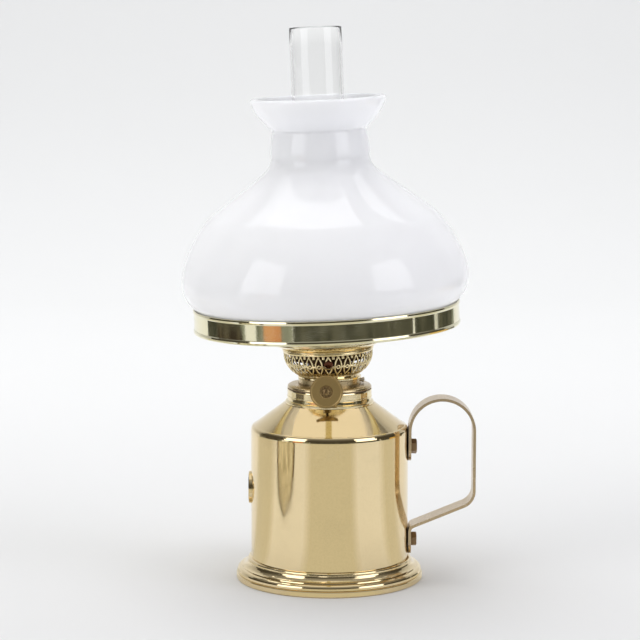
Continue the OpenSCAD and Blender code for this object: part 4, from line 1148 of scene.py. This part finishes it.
def soft_card(name, colour, azimuth, full, half):
    """A card on the table that is full for some degrees on both sides of an azimuth, then fades out up to half"""
    material = glow(name, colour, 1.0)
    tree = material.node_tree
    leave = next(node for node in tree.nodes if node.type == "OUTPUT_MATERIAL")
    light = next(node for node in tree.nodes if node.type == "EMISSION")
    where = add(tree, "ShaderNodeTexCoord").outputs["Object"]
    place = add(tree, "ShaderNodeSeparateXYZ", {0: where}).outputs
    turned = maths(tree, "ARCTAN2", place[0], maths(tree, "MULTIPLY", place[1], -1.0))
    away = maths(tree, "ABSOLUTE", maths(tree, "SUBTRACT", turned, math.radians(azimuth)))
    share = scaled(tree, away, math.radians(full), math.radians(half))
    clear = add(tree, "ShaderNodeBsdfTransparent")
    blend = add(tree, "ShaderNodeMixShader", {0: share, 1: light.outputs[0], 2: clear.outputs[0]})
    tree.links.new(blend.outputs[0], leave.inputs[0])
    floor_card(name, azimuth, half, 0.055, 0.7, 0.8 * MM, material)


def floor_card(name, azimuth, half, near, far, height, material):
    """A flat card just above the table that only shiny things see"""
    corners = [around(azimuth + side * half, distance, height)
               for distance, side in ((near, -1), (near, 1), (far, 1), (far, -1))]
    only_mirrored(stage_mesh(name, corners, [(0, 1, 2, 3)], material))


def pointed_card(name, azimuth, height, inset, material):
    """A bullet-shaped card on the table with its point towards the lamp; inset degrees make it narrower"""
    rows = ((0.222, 0), (0.24, 5), (0.265, 9), (0.30, 12), (0.35, 13.6), (0.42, 14.6), (0.58, 15))
    points = []
    for distance, half in rows:
        across = max(half - inset, 0.01)
        points += [around(azimuth + side * across, distance + inset * 0.006, height) for side in (-1, 1)]
    faces = [(2 * i, 2 * i + 1, 2 * i + 3, 2 * i + 2) for i in range(len(rows) - 1)]
    only_mirrored(stage_mesh(name, points, faces, material))


class LAMP_OT_studio(LampOperator):
    """Lays the pale table and sets up the soft light"""

    bl_idname = "lamp.studio"
    bl_label = "Studio"

    def execute(self, context):
        context.scene.view_settings.view_transform = "Standard"
        self.light_room(context)
        self.lay_table()
        if self.studio.screens:
            self.stand_screens()
        return {"FINISHED"}

    def light_room(self, context):
        world = bpy.data.worlds.new("studio")
        world.use_nodes = True
        tree = world.node_tree
        sky = tree.nodes["Background"]
        sky.inputs["Strength"].default_value = self.studio.light
        way = add(tree, "ShaderNodeSeparateXYZ", {0: add(tree, "ShaderNodeTexCoord").outputs["Generated"]}).outputs
        room = mixed(tree, scaled(tree, way[2], 0.4, 0.95), (0.12, 0.11, 0.09), (0.8, 0.8, 0.8))
        path = add(tree, "ShaderNodeLightPath").outputs
        through = maths(tree, "MINIMUM", path["Transmission Depth"], 1.0)
        mirrored = maths(tree, "MULTIPLY", path["Is Glossy Ray"], maths(tree, "SUBTRACT", 1.0, through))
        tree.links.new(mixed(tree, mirrored, (0.98, 0.985, 1.0), room), sky.inputs["Color"])
        context.scene.world = world
        fills = [soft_box("light above", (-0.14, 0.2, 1.6), (-0.04, 0.05, 0.1), (0.98, 1.3), 8),
                 soft_box("light left", around(-54, 1.6, 1.0), (0, 0, 0.15), (0.95, 1.2), 6),
                 soft_box("light right", around(63, 1.6, 0.9), (0, 0, 0.15), (0.9, 1.2), 6, (0.90, 0.90, 1.0))]
        fills += [soft_box("fill light", around(70 * side, 1.9, 0.35), (0, 0, 0.22), (1.2, 0.5), 4.5)
                  for side in (-1, 1)]
        fills.append(soft_box("light under the shade", (-0.002, 0, 0.158), (-0.006, 0, 0.3), (0.09, 0.09), 0.024))
        behind = soft_box("light behind", (0, 1.2, 2.4), (0, 2.4, 0.7), (3.6, 1.0), 16, (0.97, 0.985, 1.0))
        behind.data.spread = math.radians(155)
        strip = soft_box("light over the table", (0, 1.0, 0.8), (0, 1.0, 0.0), (2.8, 1.3), 2.1, (0.97, 0.985, 1.0))
        strip.data.spread = math.radians(90)
        fills.append(strip)
        for fill in fills:
            fill.visible_glossy = False
            fill.visible_transmission = False
        window = glow("window", (0.98, 0.98, 1.0), 2.0)
        self.hang_window("window above", (-0.14, 0.2, 1.6), (-0.04, 0.05, 0.1), (0.90, 1.2), window)
        panel = glow("panel", (0.97, 0.97, 1.0), 2.2)
        self.hang_window("panel left", around(-52, 1.6, 0.75), (0, 0, 0.75), (0.95, 1.25), panel)
        self.hang_window("panel right", around(55, 1.6, 0.75), (0, 0, 0.75), (0.95, 1.25), panel)

        # Painted reflection: a glowing disc inside the shade, seen only in mirrors, gives the shoulder a bright patch
        # that stands for the lit inside of the shade
        rim = [around(azimuth, 0.072, 0.176) for azimuth in range(0, 360, 15)]
        under = glow("glow under the shade", (1.0, 0.96, 0.90), 0.95)
        only_mirrored(stage_mesh("glow under the shade", rim, [tuple(range(len(rim)))], under))

    def hang_window(self, name, place, aim, size, material):
        """A bright panel that only glass and metal mirror"""
        turn = (Vector(aim) - Vector(place)).to_track_quat("-Z", "Y")
        corners = [Vector(place) + turn @ Vector((x * size[0] / 2, y * size[1] / 2, 0))
                   for x, y in ((-1, -1), (1, -1), (1, 1), (-1, 1))]
        only_mirrored(stage_mesh(name, [tuple(corner) for corner in corners], [(0, 1, 2, 3)], material))

    def lay_table(self):
        side, near, bend, far, tall, steps = 4.0, -4.0, 1.2, 2.4, 3.0, 16
        rows = [(near, 0.0), (bend, 0.0)]
        radius = far - bend
        for i in range(1, steps + 1):
            angle = math.radians(90) * i / steps
            rows.append((bend + radius * math.sin(angle), radius * (1 - math.cos(angle))))
        rows.append((far, tall))
        points = [(x, y, z) for y, z in rows for x in (-side, side)]
        faces = [(2 * i, 2 * i + 1, 2 * i + 3, 2 * i + 2) for i in range(len(rows) - 1)]
        table = stage_mesh("table", points, faces, paper("table paper", (0.80, 0.80, 0.795)))
        for face in table.data.polygons:
            face.use_smooth = True

    def stand_screens(self):
        # Painted reflections: glowing screens and cards that only shiny surfaces see stand in for the dark, grey,
        # orange and streaked things of a room that the brass mirrors
        dark = glow("dark screen", (0.05, 0.052, 0.04), 1.0, (0.13, 0.125, 0.10))
        grey = glow("grey screen", (0.16, 0.17, 0.14), 1.0, (0.36, 0.38, 0.33))
        orange = glow("orange screen", (0.62, 0.27, 0.12), 1.0, (0.72, 0.40, 0.22))
        near, far, tall = 0.72, 1.0, 0.12
        for number, (start, end, kind) in enumerate((
                (-120, -76, dark), (-76, -71, grey), (-60, -53, grey), (-53, -37.6, orange),
                (-37.6, -28, grey), (-27.4, 76, dark), (77.5, 102, dark), (106.5, 132.5, dark),
                (132.5, 138, grey))):
            screen(f"screen {number + 1}", start, end, near, far, tall, kind)
        soft_card("front card", (0.64, 0.62, 0.53), 2, 27, 37)
        soft_card("left card", (0.66, 0.64, 0.56), -104, 14, 24)
        soft_card("right card", (0.66, 0.64, 0.56), 92, 8, 20)
        pointed_card("pointed card", -64, 0.0008, 0, glow("pointed edge", (0.12, 0.09, 0.04), 1.0))
        streaked = glow("pointed middle", (0.36, 0.32, 0.22), 1.0, (0.95, 0.90, 0.74), 34.0)
        pointed_card("pointed card's middle", -64, 0.0012, 2.2, streaked)
        for name, azimuth, half, colour, second in (
                ("left", -88, 15, (0.03, 0.02, 0.015), (0.12, 0.10, 0.07)),
                ("gold", 107.5, 13.5, (0.70, 0.46, 0.14), None),
                ("dark", 122.5, 1.5, (0.08, 0.06, 0.03), None)):
            material = glow(f"collar screen {name}", colour, 1.0, second, 30.0)
            screen(f"collar screen {name}", azimuth - half, azimuth + half, 0.575, 0.62, 0.05, material)
        streaks = glow("collar streaks", (0.10, 0.08, 0.05), 1.0, (0.42, 0.37, 0.29), 30.0)
        floor_card("collar card", 58, 34, 0.612, 0.640, 1.6 * MM, streaks)


class LAMP_PT_panel(bpy.types.Panel):
    """Lists the lamp's sizes, colours and steps"""

    bl_idname = "LAMP_PT_panel"
    bl_label = "Kerosene table lamp"
    bl_space_type = "VIEW_3D"
    bl_region_type = "UI"
    bl_category = "Lamp"

    def draw(self, context):
        scene = context.scene
        for title, settings in (("Sizes", scene.lamp_sizes), ("Colours", scene.lamp_colours),
                                ("Studio", scene.lamp_studio)):
            box = self.layout.box()
            box.label(text=title)
            for name in settings.__annotations__:
                box.prop(settings, name)
        column = self.layout.column(align=True)
        for step in STEPS:
            column.operator(step.bl_idname)


STEPS = (LAMP_OT_camera, LAMP_OT_font, LAMP_OT_handle, LAMP_OT_burner, LAMP_OT_raiser, LAMP_OT_wick,
         LAMP_OT_gallery, LAMP_OT_carrier, LAMP_OT_chimney, LAMP_OT_shade, LAMP_OT_studio)
CLASSES = (LampSizes, LampColours, StudioSettings, *STEPS, LAMP_PT_panel)


def register():
    for item in CLASSES:
        bpy.utils.register_class(item)
    bpy.types.Scene.lamp_sizes = bpy.props.PointerProperty(type=LampSizes)
    bpy.types.Scene.lamp_colours = bpy.props.PointerProperty(type=LampColours)
    bpy.types.Scene.lamp_studio = bpy.props.PointerProperty(type=StudioSettings)


def unregister():
    del bpy.types.Scene.lamp_studio
    del bpy.types.Scene.lamp_colours
    del bpy.types.Scene.lamp_sizes
    for item in reversed(CLASSES):
        bpy.utils.unregister_class(item)


def main():
    register()
    bpy.ops.lamp.camera()
    bpy.ops.lamp.font()
    bpy.ops.lamp.handle()
    bpy.ops.lamp.burner()
    bpy.ops.lamp.raiser()
    bpy.ops.lamp.wick()
    bpy.ops.lamp.gallery()
    bpy.ops.lamp.carrier()
    bpy.ops.lamp.chimney()
    bpy.ops.lamp.shade()
    bpy.ops.lamp.studio()


if __name__ == "__main__":
    main()
